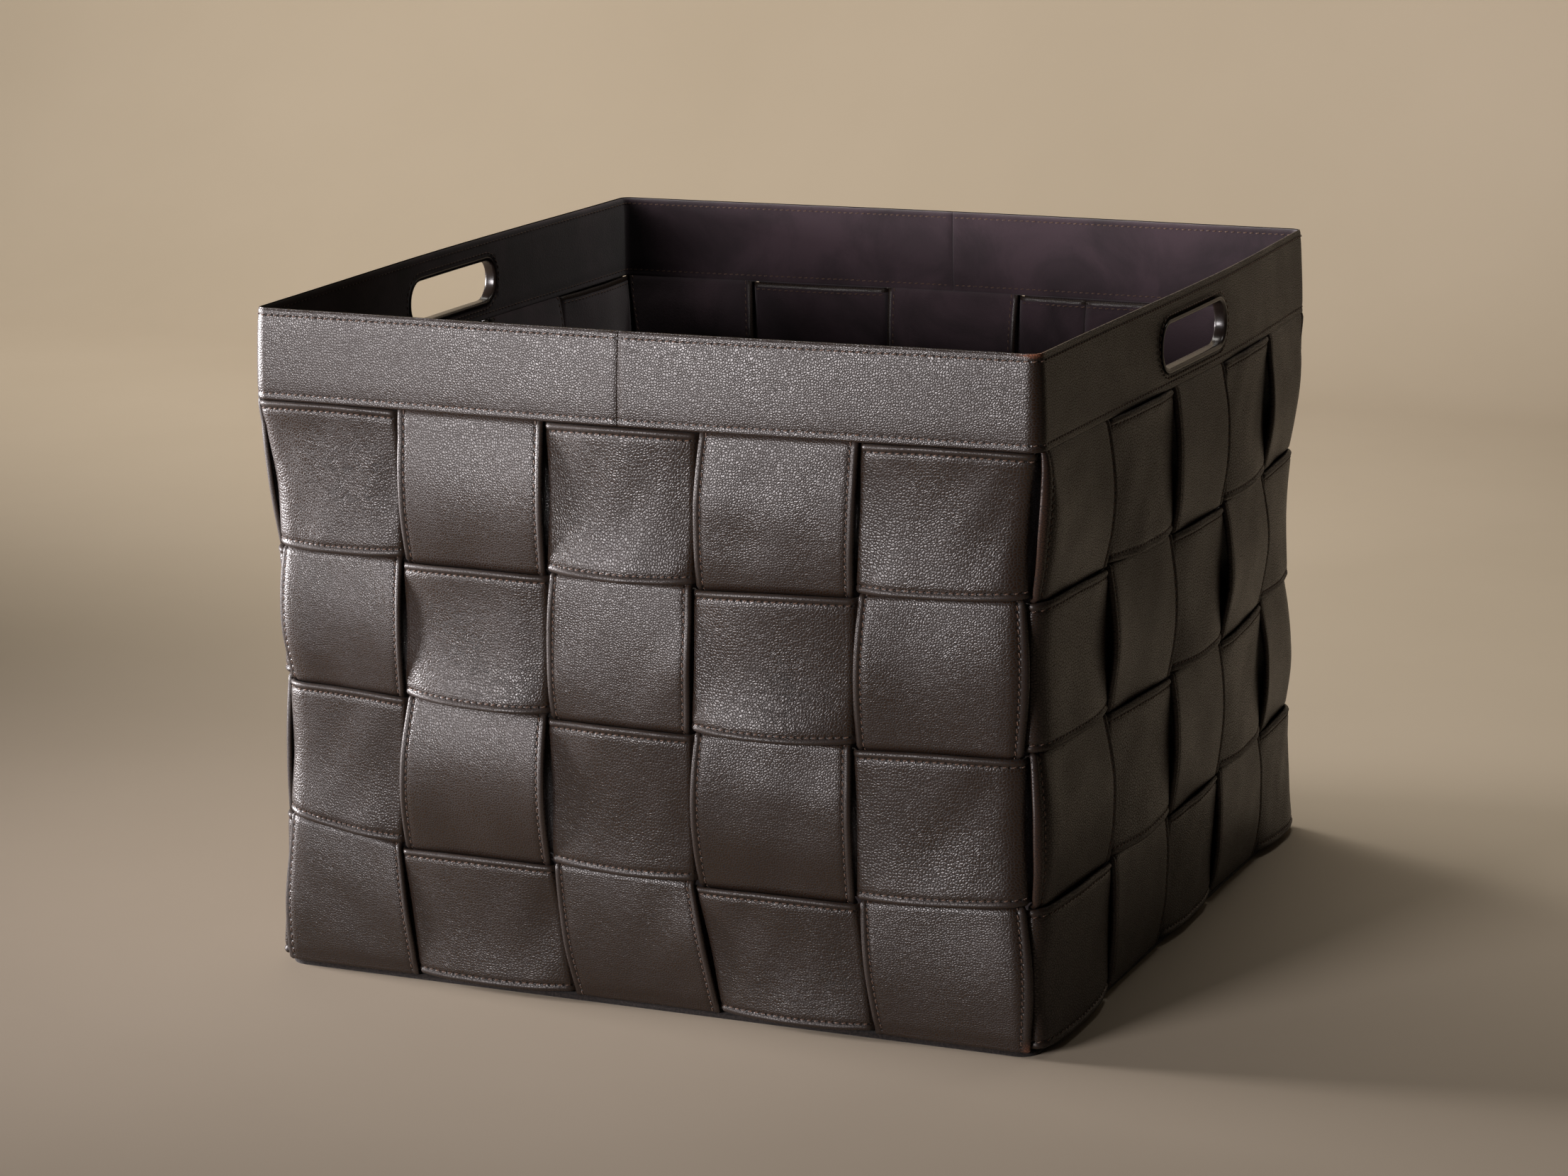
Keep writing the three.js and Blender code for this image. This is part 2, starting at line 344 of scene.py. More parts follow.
# %% Draw the creases
def crease_pattern(tree, place, crease_size):
    """The socket that is 1 on a crease and 0 beside it. The size is in millimetres."""
    crease_place = add_node(
        tree,
        "ShaderNodeVectorMath",
        {"operation": "MULTIPLY"},
        {0: place, 1: (1.0, 2.4, 0.0)},
    )
    folds = add_node(
        tree,
        "ShaderNodeTexNoise",
        {"noise_dimensions": "2D"},
        {
            "Vector": crease_place.outputs["Vector"],
            "Scale": 1.0 / (crease_size * MM),
            "Detail": 2.0,
            "Roughness": 0.55,
            "Distortion": 0.8,
        },
    )
    from_middle = add_node(
        tree,
        MATH,
        {"operation": "SUBTRACT"},
        {0: folds.outputs["Fac"], 1: 0.5},
    )
    off_fold = add_node(tree, MATH, {"operation": "ABSOLUTE"}, {0: from_middle.outputs[0]})
    crease_line = add_node(
        tree,
        MAP_RANGE,
        {"interpolation_type": "SMOOTHSTEP"},
        {
            "Value": off_fold.outputs[0],
            "From Min": 0.0,
            "From Max": 0.045,
            "To Min": 1.0,
            "To Max": 0.0,
        },
    )
    crease_mark = add_node(tree, "ShaderNodeAttribute", {"attribute_name": "crease"})
    crease = add_node(
        tree,
        MATH,
        {"operation": "MULTIPLY"},
        {0: crease_line.outputs["Result"], 1: crease_mark.outputs["Fac"]},
    )
    return crease.outputs[0]


# %% [markdown]
# ### Holes of the awl
#
# The thread passes through holes pierced by an awl. They lie on the stitch line, halfway between
# the middles of two stitches, so the same pitch places the holes here and the stitches later.

# %% Draw the holes
def awl_holes(tree, place, edge):
    """The socket that is 1 in a hole. Edge is the distance from the strap's edge, in mm."""
    along = add_node(tree, "ShaderNodeSeparateXYZ", None, {"Vector": place})
    beat = add_node(
        tree,
        MATH,
        {"operation": "MULTIPLY_ADD"},
        {0: along.outputs["X"], 1: 1.0 / (STITCH_PITCH * MM), 2: 0.5},
    )
    swing = add_node(tree, MATH, {"operation": "PINGPONG"}, {0: beat.outputs[0], 1: 0.5})
    near_hole = add_node(
        tree,
        MAP_RANGE,
        {"interpolation_type": "SMOOTHSTEP"},
        {
            "Value": swing.outputs[0],
            "From Min": 0.07,
            "From Max": 0.2,
            "To Min": 1.0,
            "To Max": 0.0,
        },
    )
    from_line = add_node(tree, MATH, {"operation": "SUBTRACT"}, {0: edge, 1: STITCH_INSET})
    away = add_node(tree, MATH, {"operation": "ABSOLUTE"}, {0: from_line.outputs[0]})
    near_line = add_node(
        tree,
        MAP_RANGE,
        {"interpolation_type": "SMOOTHSTEP"},
        {
            "Value": away.outputs[0],
            "From Min": 0.25,
            "From Max": 0.85,
            "To Min": 1.0,
            "To Max": 0.0,
        },
    )
    hole = add_node(
        tree,
        MATH,
        {"operation": "MULTIPLY"},
        {0: near_hole.outputs["Result"], 1: near_line.outputs["Result"]},
    )
    return hole.outputs[0]


# %% [markdown]
# ### The whole skin
#
# Height adds the pebbles, the fine grain, the creases and the holes. The leather is stretched
# smooth where it is rolled over the edge, so the grain fades out there. Colour is a dark dye,
# with painted shade that darkens the valleys and creases and blackens the awl holes, a little
# cloudy and rubbed off at worn edges. Valleys hold dull wax, and the rolled edge has been handled
# until it is duller than the body.

# %% Shape the skin's height
def skin_height(tree, domes, fine, crease, hole, body):
    """The height in shares of the relief. Body is low on the rolled edge and 1 past it."""
    grain = add_node(tree, MATH, {"operation": "MULTIPLY_ADD"}, {0: fine, 1: 0.06, 2: domes})
    height = add_node(tree, MATH, {"operation": "MULTIPLY"}, {0: grain.outputs[0], 1: body})
    for mark, depth in ((crease, -2.4), (hole, -3.0)):
        height = add_node(
            tree,
            MATH,
            {"operation": "MULTIPLY_ADD"},
            {0: mark, 1: depth, 2: height.outputs[0]},
        )
    return height.outputs[0]


# %% Colour the skin
def skin_colour(tree, tops, clouds, hole):
    """The dyed colour with painted shade. Tops is 1 on the pebbles and 0 in valleys and creases."""
    # Painted shade: valleys and creases (tops at 0) take the near-black colour, pebble tops the dye.
    dye_and_valley_shade = add_node(
        tree,
        "ShaderNodeMix",
        {"data_type": "RGBA"},
        {"Factor": tops, 6: linear("#0a0605"), 7: linear("#26190f")},
    )
    cloud_share = add_node(
        tree,
        MAP_RANGE,
        None,
        {"Value": clouds, "From Min": 0.35, "From Max": 0.65, "To Max": 0.5},
    )
    cloudy = add_node(
        tree,
        "ShaderNodeMix",
        {"data_type": "RGBA"},
        {"Factor": cloud_share.outputs["Result"], 6: dye_and_valley_shade.outputs[2], 7: linear("#1f130c")},
    )
    rub = add_node(tree, "ShaderNodeAttribute", {"attribute_name": "wear"})
    rub_share = add_node(
        tree,
        MATH,
        {"operation": "MULTIPLY", "use_clamp": True},
        {0: rub.outputs["Fac"], 1: tops},
    )
    worn = add_node(
        tree,
        "ShaderNodeMix",
        {"data_type": "RGBA"},
        {"Factor": rub_share.outputs[0], 6: cloudy.outputs[2], 7: linear("#8f5a41")},
    )
    # Painted shade: the awl holes are coloured near black.
    hole_shaded = add_node(
        tree,
        "ShaderNodeMix",
        {"data_type": "RGBA"},
        {"Factor": hole, 6: worn.outputs[2], 7: linear("#0b0706")},
    )
    return hole_shaded.outputs[2]


# %% Set how dull the skin is
def skin_roughness(tree, tops, clouds, body):
    """Roughness 0.30 to 0.38 on the pebble tops, which is typical for waxed leather."""
    shine = add_node(
        tree,
        MAP_RANGE,
        None,
        {"Value": clouds, "From Min": 0.3, "From Max": 0.7, "To Min": 0.42, "To Max": 0.5},
    )
    gloss = add_node(
        tree,
        "ShaderNodeMix",
        None,
        {"Factor": tops, 2: 0.95, 3: shine.outputs["Result"]},
    )
    roughness = add_node(
        tree,
        MATH,
        {"operation": "MULTIPLY_ADD"},
        {0: body, 1: -0.12, 2: gloss.outputs[0]},
    )
    return roughness.outputs[0]


# %% Build the grain leather
def grain_leather(name, pebble_size, crease_size, relief):
    """Sizes are in millimetres. Relief is how deep the valleys look."""
    material, tree = new_finish(name)
    place = add_node(tree, "ShaderNodeUVMap", {"uv_map": "leather"}).outputs["UV"]
    edge = add_node(tree, "ShaderNodeAttribute", {"attribute_name": "edge"}).outputs["Fac"]
    domes, pebbles, fine = pebble_pattern(tree, place, pebble_size)
    crease = crease_pattern(tree, place, crease_size)
    hole = awl_holes(tree, place, edge)
    cloud_noise = add_node(
        tree,
        "ShaderNodeTexNoise",
        {"noise_dimensions": "2D"},
        {"Vector": place, "Scale": 28.0, "Detail": 4.0, "Roughness": 0.55},
    )
    clouds = cloud_noise.outputs["Fac"]
    past_edge = add_node(
        tree,
        MAP_RANGE,
        {"interpolation_type": "SMOOTHSTEP"},
        {"Value": edge, "From Min": 2.6, "From Max": 4.8, "To Min": 0.12},
    )
    body = past_edge.outputs["Result"]
    # Painted shade follows this mask: creases are taken out of the tops, so they darken like valleys.
    uncreased = add_node(
        tree,
        MATH,
        {"operation": "SUBTRACT", "use_clamp": True},
        {0: pebbles, 1: crease},
    )
    tops = uncreased.outputs[0]
    height = skin_height(tree, domes, fine, crease, hole, body)
    bump = add_node(
        tree,
        "ShaderNodeBump",
        None,
        {"Strength": 1.0, "Distance": relief * MM, "Height": height},
    )
    shader = add_node(
        tree,
        "ShaderNodeBsdfPrincipled",
        None,
        {
            "Base Color": skin_colour(tree, tops, clouds, hole),
            "Roughness": skin_roughness(tree, tops, clouds, body),
            "IOR": 1.5,
            "Normal": bump.outputs["Normal"],
        },
    )
    add_node(tree, "ShaderNodeOutputMaterial", None, {"Surface": shader.outputs["BSDF"]})
    return material


BAND_LEATHER = grain_leather("Tumbled grain leather, bands", 1.7, 11.0, 0.1)
STRAP_LEATHER = grain_leather("Tumbled grain leather, straps", 1.5, 11.0, 0.085)
COLLAR_LEATHER = grain_leather("Tumbled grain leather, collar", 1.5, 11.0, 0.075)
print("leather nodes:", len(BAND_LEATHER.node_tree.nodes))

# %% [markdown]
# ## Suede
#
# The inside of every strap and the collar's lining are suede: the flesh side of the hide, sanded
# until its fibres stand up. It has no shine of its own, but the fibres catch light at a grazing
# angle, which the shader calls sheen. Hands brush the nap one way and another and leave cloudy
# patches, darker and lighter, several centimetres wide.

# %% Build the suede
def suede_finish(name, dark, light):
    """Cloudy napped leather between a dark and a light colour."""
    material, tree = new_finish(name)
    place = add_node(tree, "ShaderNodeTexCoord").outputs["Object"]
    patches = add_node(
        tree,
        "ShaderNodeTexNoise",
        None,
        {"Vector": place, "Scale": 17.0, "Detail": 5.0, "Roughness": 0.62, "Distortion": 0.6},
    )
    fibres = add_node(
        tree,
        "ShaderNodeTexNoise",
        None,
        {"Vector": place, "Scale": 900.0, "Detail": 3.0, "Roughness": 0.7},
    )
    share = add_node(
        tree,
        MAP_RANGE,
        {"interpolation_type": "SMOOTHSTEP"},
        {"Value": patches.outputs["Fac"], "From Min": 0.34, "From Max": 0.68},
    )
    nap = add_node(
        tree,
        MATH,
        {"operation": "MULTIPLY_ADD", "use_clamp": True},
        {0: fibres.outputs["Fac"], 1: 0.3, 2: share.outputs["Result"]},
    )
    brushed = add_node(
        tree,
        "ShaderNodeMix",
        {"data_type": "RGBA"},
        {"Factor": nap.outputs[0], 6: linear(dark), 7: linear(light)},
    )
    bump = add_node(
        tree,
        "ShaderNodeBump",
        None,
        {"Strength": 0.7, "Distance": 0.3 * MM, "Height": fibres.outputs["Fac"]},
    )
    shader = add_node(
        tree,
        "ShaderNodeBsdfPrincipled",
        None,
        {
            "Base Color": brushed.outputs[2],
            "Roughness": 0.95,
            "IOR": 1.45,
            "Specular IOR Level": 0.2,
            "Sheen Weight": 0.25,
            "Sheen Roughness": 0.6,
            "Normal": bump.outputs["Normal"],
        },
    )
    add_node(tree, "ShaderNodeOutputMaterial", None, {"Surface": shader.outputs["BSDF"]})
    return material


SUEDE = suede_finish("Napped suede", "#20171b", "#3a2c32")
print("suede nodes:", len(SUEDE.node_tree.nodes))

# %% [markdown]
# ## Painted edge, felt, fibre board and thread
#
# The grip slots are bound with leather whose edges were sanded and painted, so they are almost
# black and glossy. The underside is wool felt, all short matted fibres. The stiff board is
# pressed leather fibre, a dull brown with flecks. The thread is waxed polyester in a mid brown
# that shows against the dark leather, with a fine twist.

# %% Build the painted edge
def painted_edge():
    material, tree = new_finish("Painted leather edge")
    place = add_node(tree, "ShaderNodeTexCoord").outputs["Object"]
    strokes = add_node(
        tree,
        "ShaderNodeTexNoise",
        None,
        {"Vector": place, "Scale": 220.0, "Detail": 3.0, "Roughness": 0.5},
    )
    colour = add_node(
        tree,
        "ShaderNodeMix",
        {"data_type": "RGBA"},
        {"Factor": strokes.outputs["Fac"], 6: linear("#120e0c"), 7: linear("#2a211c")},
    )
    bump = add_node(
        tree,
        "ShaderNodeBump",
        None,
        {"Strength": 0.5, "Distance": 0.12 * MM, "Height": strokes.outputs["Fac"]},
    )
    shader = add_node(
        tree,
        "ShaderNodeBsdfPrincipled",
        None,
        {
            "Base Color": colour.outputs[2],
            "Roughness": 0.27,
            "IOR": 1.5,
            "Normal": bump.outputs["Normal"],
        },
    )
    add_node(tree, "ShaderNodeOutputMaterial", None, {"Surface": shader.outputs["BSDF"]})
    return material


EDGE_PAINT = painted_edge()
print("painted edge nodes:", len(EDGE_PAINT.node_tree.nodes))


# %% [markdown]
# Felt, fibre board and thread are all matted or twisted fibres, so one finish serves all three.
# The size of its flecks is what tells them apart: a fibre tuft in the felt, a chip of leather in
# the board and one ply of the thread.

# %% Build the felt, the fibre board and the thread
def matted_finish(name, dark, light, grain, relief, roughness):
    """A dull surface of short fibres or flecks. Grain and relief are in millimetres."""
    material, tree = new_finish(name)
    place = add_node(tree, "ShaderNodeTexCoord").outputs["Object"]
    fibres = add_node(
        tree,
        "ShaderNodeTexNoise",
        None,
        {"Vector": place, "Scale": 1.0 / (grain * MM), "Detail": 4.0, "Roughness": 0.7},
    )
    share = add_node(
        tree,
        MAP_RANGE,
        {"interpolation_type": "SMOOTHSTEP"},
        {"Value": fibres.outputs["Fac"], "From Min": 0.35, "From Max": 0.68},
    )
    colour = add_node(
        tree,
        "ShaderNodeMix",
        {"data_type": "RGBA"},
        {"Factor": share.outputs["Result"], 6: linear(dark), 7: linear(light)},
    )
    bump = add_node(
        tree,
        "ShaderNodeBump",
        None,
        {"Strength": 0.8, "Distance": relief * MM, "Height": fibres.outputs["Fac"]},
    )
    shader = add_node(
        tree,
        "ShaderNodeBsdfPrincipled",
        None,
        {
            "Base Color": colour.outputs[2],
            "Roughness": roughness,
            "IOR": 1.5,
            "Specular IOR Level": 0.3,
            "Sheen Weight": 0.15,
            "Normal": bump.outputs["Normal"],
        },
    )
    add_node(tree, "ShaderNodeOutputMaterial", None, {"Surface": shader.outputs["BSDF"]})
    return material


FELT = matted_finish("Wool felt", "#0f0c0b", "#2b2421", 1.4, 0.6, 0.95)
FIBRE_BOARD = matted_finish("Pressed leather fibre board", "#4a3829", "#7b624b", 2.5, 0.15, 0.85)
THREAD = matted_finish("Waxed polyester thread", "#3e2e25", "#684e3e", 0.9, 0.12, 0.5)
print("fibre finishes:", FELT.name, "/", FIBRE_BOARD.name, "/", THREAD.name)

# %% [markdown]
# ## The weave
#
# In each square of the weave either the band or the upright strap is on top. Leather is stiff
# enough that the one on top arches outwards between the two places where it dives under, and the
# one beneath arches the other way. An upright strap on top is a plain arch. A band on top is a
# saddle: its rolled edges are held out, the lower one twice as far as the upper, its middle hangs
# back, and its two sides are pulled in under the neighbouring straps. That is what makes the
# bright and dark halves of each square.
#
# No two squares are quite alike, so small seeded differences are added to each arch, and a few
# strap edges stand off further than the rest.

# %% Give every square of the weave its own arch
ROWS = 4
CROSSING = 2.1
ROW_MIDDLE = (ROW_LOW + ROW_HIGH) / 2.0
ROW_HALF = (ROW_HIGH[0] - ROW_LOW[0]) / 2.0
STRAP_GAP = 3.0

luck = np.random.default_rng(11)
strap_arch = luck.uniform(3.4, 4.8, (ROWS, COLUMNS * WALLS))
band_arch = luck.uniform(1.4, 2.6, (ROWS, COLUMNS * WALLS))
band_edges = luck.uniform(2.4, 3.6, (ROWS, COLUMNS * WALLS))
band_tuck = luck.uniform(0.6, 1.4, (ROWS, COLUMNS * WALLS))
left_lift = luck.uniform(0.3, 1.1, (ROWS, COLUMNS * WALLS))
right_lift = luck.uniform(0.3, 1.1, (ROWS, COLUMNS * WALLS))

# Rows and columns of the strap edges that stand off most. The ones beside a corner can't bend
# round it, so they stand off too.
right_lifts = {(1, 0): 1.8, (0, 1): 1.6, (1, 2): 1.4, (2, 1): 1.2, (3, 0): 1.6, (3, 2): 1.8}
left_lifts = {(0, 7): 0.8, (1, 6): 0.8, (2, 7): 0.8, (1, 8): 1.4, (0, 9): 1.0, (2, 9): 0.8}
for square, lift in right_lifts.items():
    right_lift[square] = lift
for square, lift in left_lifts.items():
    left_lift[square] = lift
for column in (4, 9, 14, 19):
    right_lift[:, column] = 0.4
for column in (0, 5, 10, 15):
    left_lift[:, column] = 0.4
left_lift[0, 5] = 3.0
left_lift[2, 5] = 1.6
strap_arch[:, [0, 4, 19]] -= 1.4
strap_arch[2, 1] = 7.0
strap_arch[1, 2] = 1.4
strap_arch[0, 1] = 5.0
band_edges[1, 1] = 7.4
band_edges[0, 2] = 4.8
band_edges[1, 3] = 5.4


def band_side(row, column):
    """1 where the band is outside and -1 where the strap is."""
    return np.where((row + column) % 2 == 0, 1.0, -1.0)


def strap_share(wall):
    """The share of a column that a strap covers."""
    pitch = 2.0 * (np.where(wall % 2 == 0, HALF_WIDTH, HALF_DEPTH) - 2.15) / COLUMNS
    return 1.0 - STRAP_GAP / pitch, pitch


def arch(share):
    """1 in the middle of a square and 0 at its edges."""
    return np.cos(np.pi / 2.0 * np.clip(share, -1.0, 1.0))


print("strap width front and right, in mm:", [float(s * p) for s, p in map(strap_share, (0, 1))])

# %% [markdown]
# No hand-woven wall is a perfect grid. The front straps crowd towards the left corner and the
# right wall's straps lean towards the back, more so near the floor, and the gaps between bands
# wander up and down by a few millimetres. Two small tables hold those shifts at the weave's own
# corners, and every strap, band and stitch is moved by them together, so nothing comes apart.

# %% Shift the weave off its even grid
SHIFT_COLUMNS = [-2, 0, 1, 2, 3, 4, 5, 6, 7, 8, 9, 10, 18]
SHIFT_HEIGHTS = [8.0, 87.0, 172.0, 257.0, 343.0, 352.0]
SIDEWAYS = [
    [0.0, 0.0, -4.5, 1.0, 1.0, 0.0, 0.0, 17.0, 19.0, 20.0, 18.0, 0.0, 0.0],
    [0.0, 0.0, -15.0, -7.5, -10.0, -6.0, 0.0, 18.0, 21.0, 18.0, 19.0, 0.0, 0.0],
    [0.0, 0.0, -10.5, -5.5, -7.5, -5.0, 0.0, 11.0, 15.0, 9.0, 11.0, 0.0, 0.0],
    [0.0, 0.0, -8.0, -4.5, -6.0, -4.0, 0.0, 6.0, 12.0, 5.0, 6.0, 0.0, 0.0],
    [0.0, 0.0, -5.0, -3.0, -5.0, -3.5, 0.0, 5.0, 10.0, 5.0, 6.0, 0.0, 0.0],
    [0.0, 0.0, -5.0, -3.0, -5.0, -3.5, 0.0, 5.0, 10.0, 5.0, 6.0, 0.0, 0.0],
]
UPWARDS = [
    [0.0] * 13,
    [0.0, 5.0, -6.0, -4.5, -6.5, -7.5, -2.5, -6.0, -6.5, -4.0, -3.5, -1.0, 0.0],
    [0.0, 3.5, 1.5, 0.5, -0.5, -2.0, -1.0, -2.0, -3.0, -2.5, 0.0, 0.0, 0.0],
    [0.0, -2.5, -2.0, -1.0, -1.5, 0.0, 2.0, 0.5, -1.0, -1.0, 0.0, 0.0, 0.0],
    [2.6] * 13,
    [0.0] * 13,
]


def read_table(table, along, z):
    """A shift in mm between the table's own places, blended in both directions."""
    along = (along - SHIFT_COLUMNS[0]) % (COLUMNS * WALLS) + SHIFT_COLUMNS[0]
    total = 0.0
    for row, values in enumerate(table):
        nearness = np.interp(z, SHIFT_HEIGHTS, np.eye(len(SHIFT_HEIGHTS))[row])
        total = total + nearness * np.interp(along, SHIFT_COLUMNS, values)
    return total


def shifted(along, z):
    """Where an even place in the weave really lies: columns along, and height."""
    sideways = read_table(SIDEWAYS, along, z) / strap_share(0)[1]
    return along + sideways, z + read_table(UPWARDS, along, z)


def unevenness(across, lengthways, seed):
    """Soft lumps in the leather, in mm, from a few waves in different directions."""
    waves = np.random.default_rng(seed)
    total = 0.0
    for _ in range(5):
        heading = waves.uniform(0.0, np.pi)
        length = waves.uniform(26.0, 70.0)
        phase = waves.uniform(0.0, 2.0 * np.pi)
        travel = across * np.cos(heading) + lengthways * np.sin(heading)
        total = total + np.sin(2.0 * np.pi * travel / length + phase)
    return 0.13 * total


print("an even place and where it lies:", (1.0, 87.0), np.round(shifted(1.0, 87.0), 2))

# %% [markdown]
# ## The strap's section
#
# Cut across, a strap is two skins 3.6 mm thick together. At each side the grain leather is
# rolled over into a bead about 4 mm wide, and the stitch line beside the bead pulls the skins
# together in a shallow groove. The bead's highlight is the thin bright line round each square.

# %% Draw the section
ROLLED_EDGE = [
    (0.0, 0.0),
    (0.12, 0.62),
    (0.5, 1.22),
    (1.1, 1.7),
    (1.8, 1.98),
    (2.6, 1.92),
    (3.3, 1.6),
    (3.9, 1.22),
    (4.6, 1.2),
    (5.4, 1.5),
    (6.6, 1.74),
    (8.5, 1.8),
]
SUEDE_EDGE = [(0.12, 0.6), (0.5, 1.15), (1.2, 1.55), (2.6, 1.7), (4.3, 1.35), (6.0, 1.65), (8.5, 1.7)]
BODY_STEPS = 10


def strap_section(width):
    """Rows of: place across, height over the strap's middle, and distance from its edge."""
    half = width / 2.0
    body = np.linspace(-half + 8.5, half - 8.5, BODY_STEPS + 1)[1:-1]
    outside = [(-half + d, h, d) for d, h in ROLLED_EDGE]
    outside += [(v, 1.8, half - abs(v)) for v in body]
    outside += [(half - d, h, d) for d, h in reversed(ROLLED_EDGE)]
    inside = [(half - d, -h, d) for d, h in SUEDE_EDGE]
    inside += [(v, -1.7, half - abs(v)) for v in reversed(body)]
    inside += [(-half + d, -h, d) for d, h in reversed(SUEDE_EDGE)]
    return np.array(outside + inside)


def suede_quads(section, rings):
    """1 for the quads that show suede: those inside, past the rolled edge."""
    following = np.roll(section, -1, axis=0)
    inner = np.minimum(section[:, 2], following[:, 2]) > 2.0
    inner &= (section[:, 1] < 0.0) & (following[:, 1] < 0.0)
    return np.tile(inner.astype(np.int32), rings)


example = strap_section(91.0)
print("points round the section:", len(example))

# %% [markdown]
# ## Upright straps
#
# Each strap starts skived thin between the collar's two skins, weaves down through four bands,
# and is turned in under the floor board. Its path is worked out first as a line of offsets and
# heights with the direction that faces outwards, and the section is carried down it.

# %% Follow a strap down through the weave
TURN_RADIUS = 1.3
TURN_REACH = -9.7
SPREAD = 1.2
SQUARE_STEPS = 22


def square_stations():
    """Places across a square from 1 to -1, closer together near its edges."""
    turn = np.linspace(0.0, np.pi, SQUARE_STEPS + 1)
    return 0.45 * np.cos(turn) + 0.55 * np.linspace(1.0, -1.0, SQUARE_STEPS + 1)


def strap_heights():
    heights = [TUCK_TOP, 350.5, 348.0, 346.5, 345.5, 344.7, 344.0]
    for row in range(ROWS):
        heights += list(ROW_MIDDLE[row] + ROW_HALF * square_stations())
        if row < ROWS - 1:
            heights += list(ROW_LOW[row] - STRAP_GAP * np.array([0.25, 0.5, 0.75]))
    return np.array(heights)


def strap_wave(column, z, across=0.0):
    """The offset of a strap's middle at a height. Across goes from -1 to 1."""
    levels = [0.0]
    values = [-band_side(3, column)]
    for row in reversed(range(ROWS)):
        levels += [ROW_LOW[row], ROW_HIGH[row]]
        values += [-band_side(row, column)] * 2
    levels += [COLLAR_BOTTOM - 1.0, TUCK_TOP + 1.0]
    values += [0.0, 0.0]
    offset = CROSSING * np.interp(z, levels, values)
    for row in range(ROWS):
        share = (z - ROW_MIDDLE[row]) / ROW_HALF
        side = -band_side(row, column)
        edge = np.where(across < 0.0, left_lift[row, column], right_lift[row, column])
        edge = edge if side > 0 else 0.8
        height = strap_arch[row, column] * (1.0 if row < 3 else 0.6)
        lift = edge * np.abs(across) ** 2.5
        offset = offset + side * (height + lift) * arch(share) * (np.abs(share) < 1.0)
    return offset


def strap_course(column):
    """Offsets, heights, outward directions, thickness shares and lengths down the strap."""
    z = strap_heights()
    out = strap_wave(column, z)
    turn = np.linspace(0.0, np.pi / 2.0, 6)[1:]
    turned_out = out[-1] - TURN_RADIUS * (1.0 - np.cos(turn))
    turned_z = z[-1] - TURN_RADIUS * np.sin(turn)
    reach = np.linspace(turned_out[-1], TURN_REACH, 5)[1:]
    out = np.concatenate([out, turned_out, reach])
    z = np.concatenate([z, turned_z, np.full(4, turned_z[-1])])
    step_out, step_z = np.gradient(out), np.gradient(z)
    size = np.hypot(step_out, step_z)
    thin = 0.44 + 0.56 * smooth_step(z, 346.0, 340.0) * smooth_step(z, 5.5, 14.0)
    length = np.concatenate([[0.0], np.cumsum(np.hypot(np.diff(out), np.diff(z)))])
    facing = (-step_z / size, step_out / size)
    return {"out": out, "z": z, "facing": facing, "thin": thin, "length": length}


def outside_share(z, sides):
    """How fully a strap is on top at a height: 1 in the middle of an outside square."""
    total = 0.0
    for row in range(ROWS):
        if sides[row] > 0.0:
            total = total + arch((z - ROW_MIDDLE[row]) / ROW_HALF)
    return total


def strap_point(column, course, length, across, height):
    """A place on the strap: length down it, across it, and height over its middle, in mm."""
    wall = column // COLUMNS
    share, pitch = strap_share(wall)
    length, across, height = np.broadcast_arrays(length, across, height)
    z = np.interp(length, course["length"], course["z"])
    out = np.interp(length, course["length"], course["out"])
    facing_out = np.interp(length, course["length"], course["facing"][0])
    facing_z = np.interp(length, course["length"], course["facing"][1])
    thin = np.interp(length, course["length"], course["thin"])
    half = share * pitch / 2.0
    lifted = strap_wave(column, z, across / half) - strap_wave(column, z)
    across = across * (1.0 + SPREAD / half * outside_share(z, -band_side(np.arange(ROWS), column)))
    free = smooth_step(z, 344.0, 330.0) * smooth_step(z, 6.0, 20.0)
    lumps = free * unevenness(across, length, column)
    along, level = shifted(column + 0.5 + across / pitch, z + facing_z * height * thin)
    return on_wall(along, out + lifted + lumps + facing_out * height * thin, level)


# %% [markdown]
# The twenty straps are one sweep each. The rubbed places are marked here: the foot of the strap at
# the front's right corner, and the edge of its neighbour round the corner. A strap hangs almost
# straight, so it is hardly creased.

# %% Make the twenty straps
WALL_NAMES = ["front", "right", "back", "left"]
strap_courses = [strap_course(column) for column in range(COLUMNS * WALLS)]


def make_strap(column):
    wall = column // COLUMNS
    share, pitch = strap_share(wall)
    section = strap_section(share * pitch)
    course = strap_courses[column]
    length = course["length"][:, None]
    points = strap_point(column, course, length, section[None, :, 0], section[None, :, 1])
    rings, around = points.shape[:2]
    faces = ring_faces(rings, around, closed=False)
    caps = [list(range(around)), list(range((rings - 1) * around, rings * around))]
    flat = np.stack(np.broadcast_arrays(length, section[None, :, 0] + 300.0 * column), axis=-1) * MM
    edge = np.broadcast_to(section[None, :, 2], (rings, around))
    wear = np.zeros((rings, around))
    height = course["z"][:, None]
    across = section[None, :, 0]
    if column == 4:
        wear = 0.6 * smooth_step(height, 12.0, 4.0) * smooth_step(across, 40.0, 46.0)
    if column == 5:
        rubbed = 0.08 * arch((height - 300.0) / 60.0) + 0.05 * arch((height - 120.0) / 50.0)
        wear = rubbed * (across < -44.0)
    marks = {"edge": edge, "crease": np.full((rings, around), 0.02), "wear": wear}
    name = f"upright_strap_{WALL_NAMES[wall]}_{column % COLUMNS + 1}"
    second = suede_quads(section, rings - 1)
    piece = make_piece(name, points, faces, [STRAP_LEATHER, SUEDE], caps, flat, marks, second)
    settle(piece, "grain_leather", f"strap_{WALL_NAMES[wall]}_{column % COLUMNS + 1}")
    return piece


straps = [make_strap(column) for column in range(COLUMNS * WALLS)]
print("straps:", len(straps), "faces in each:", len(straps[0].data.polygons))

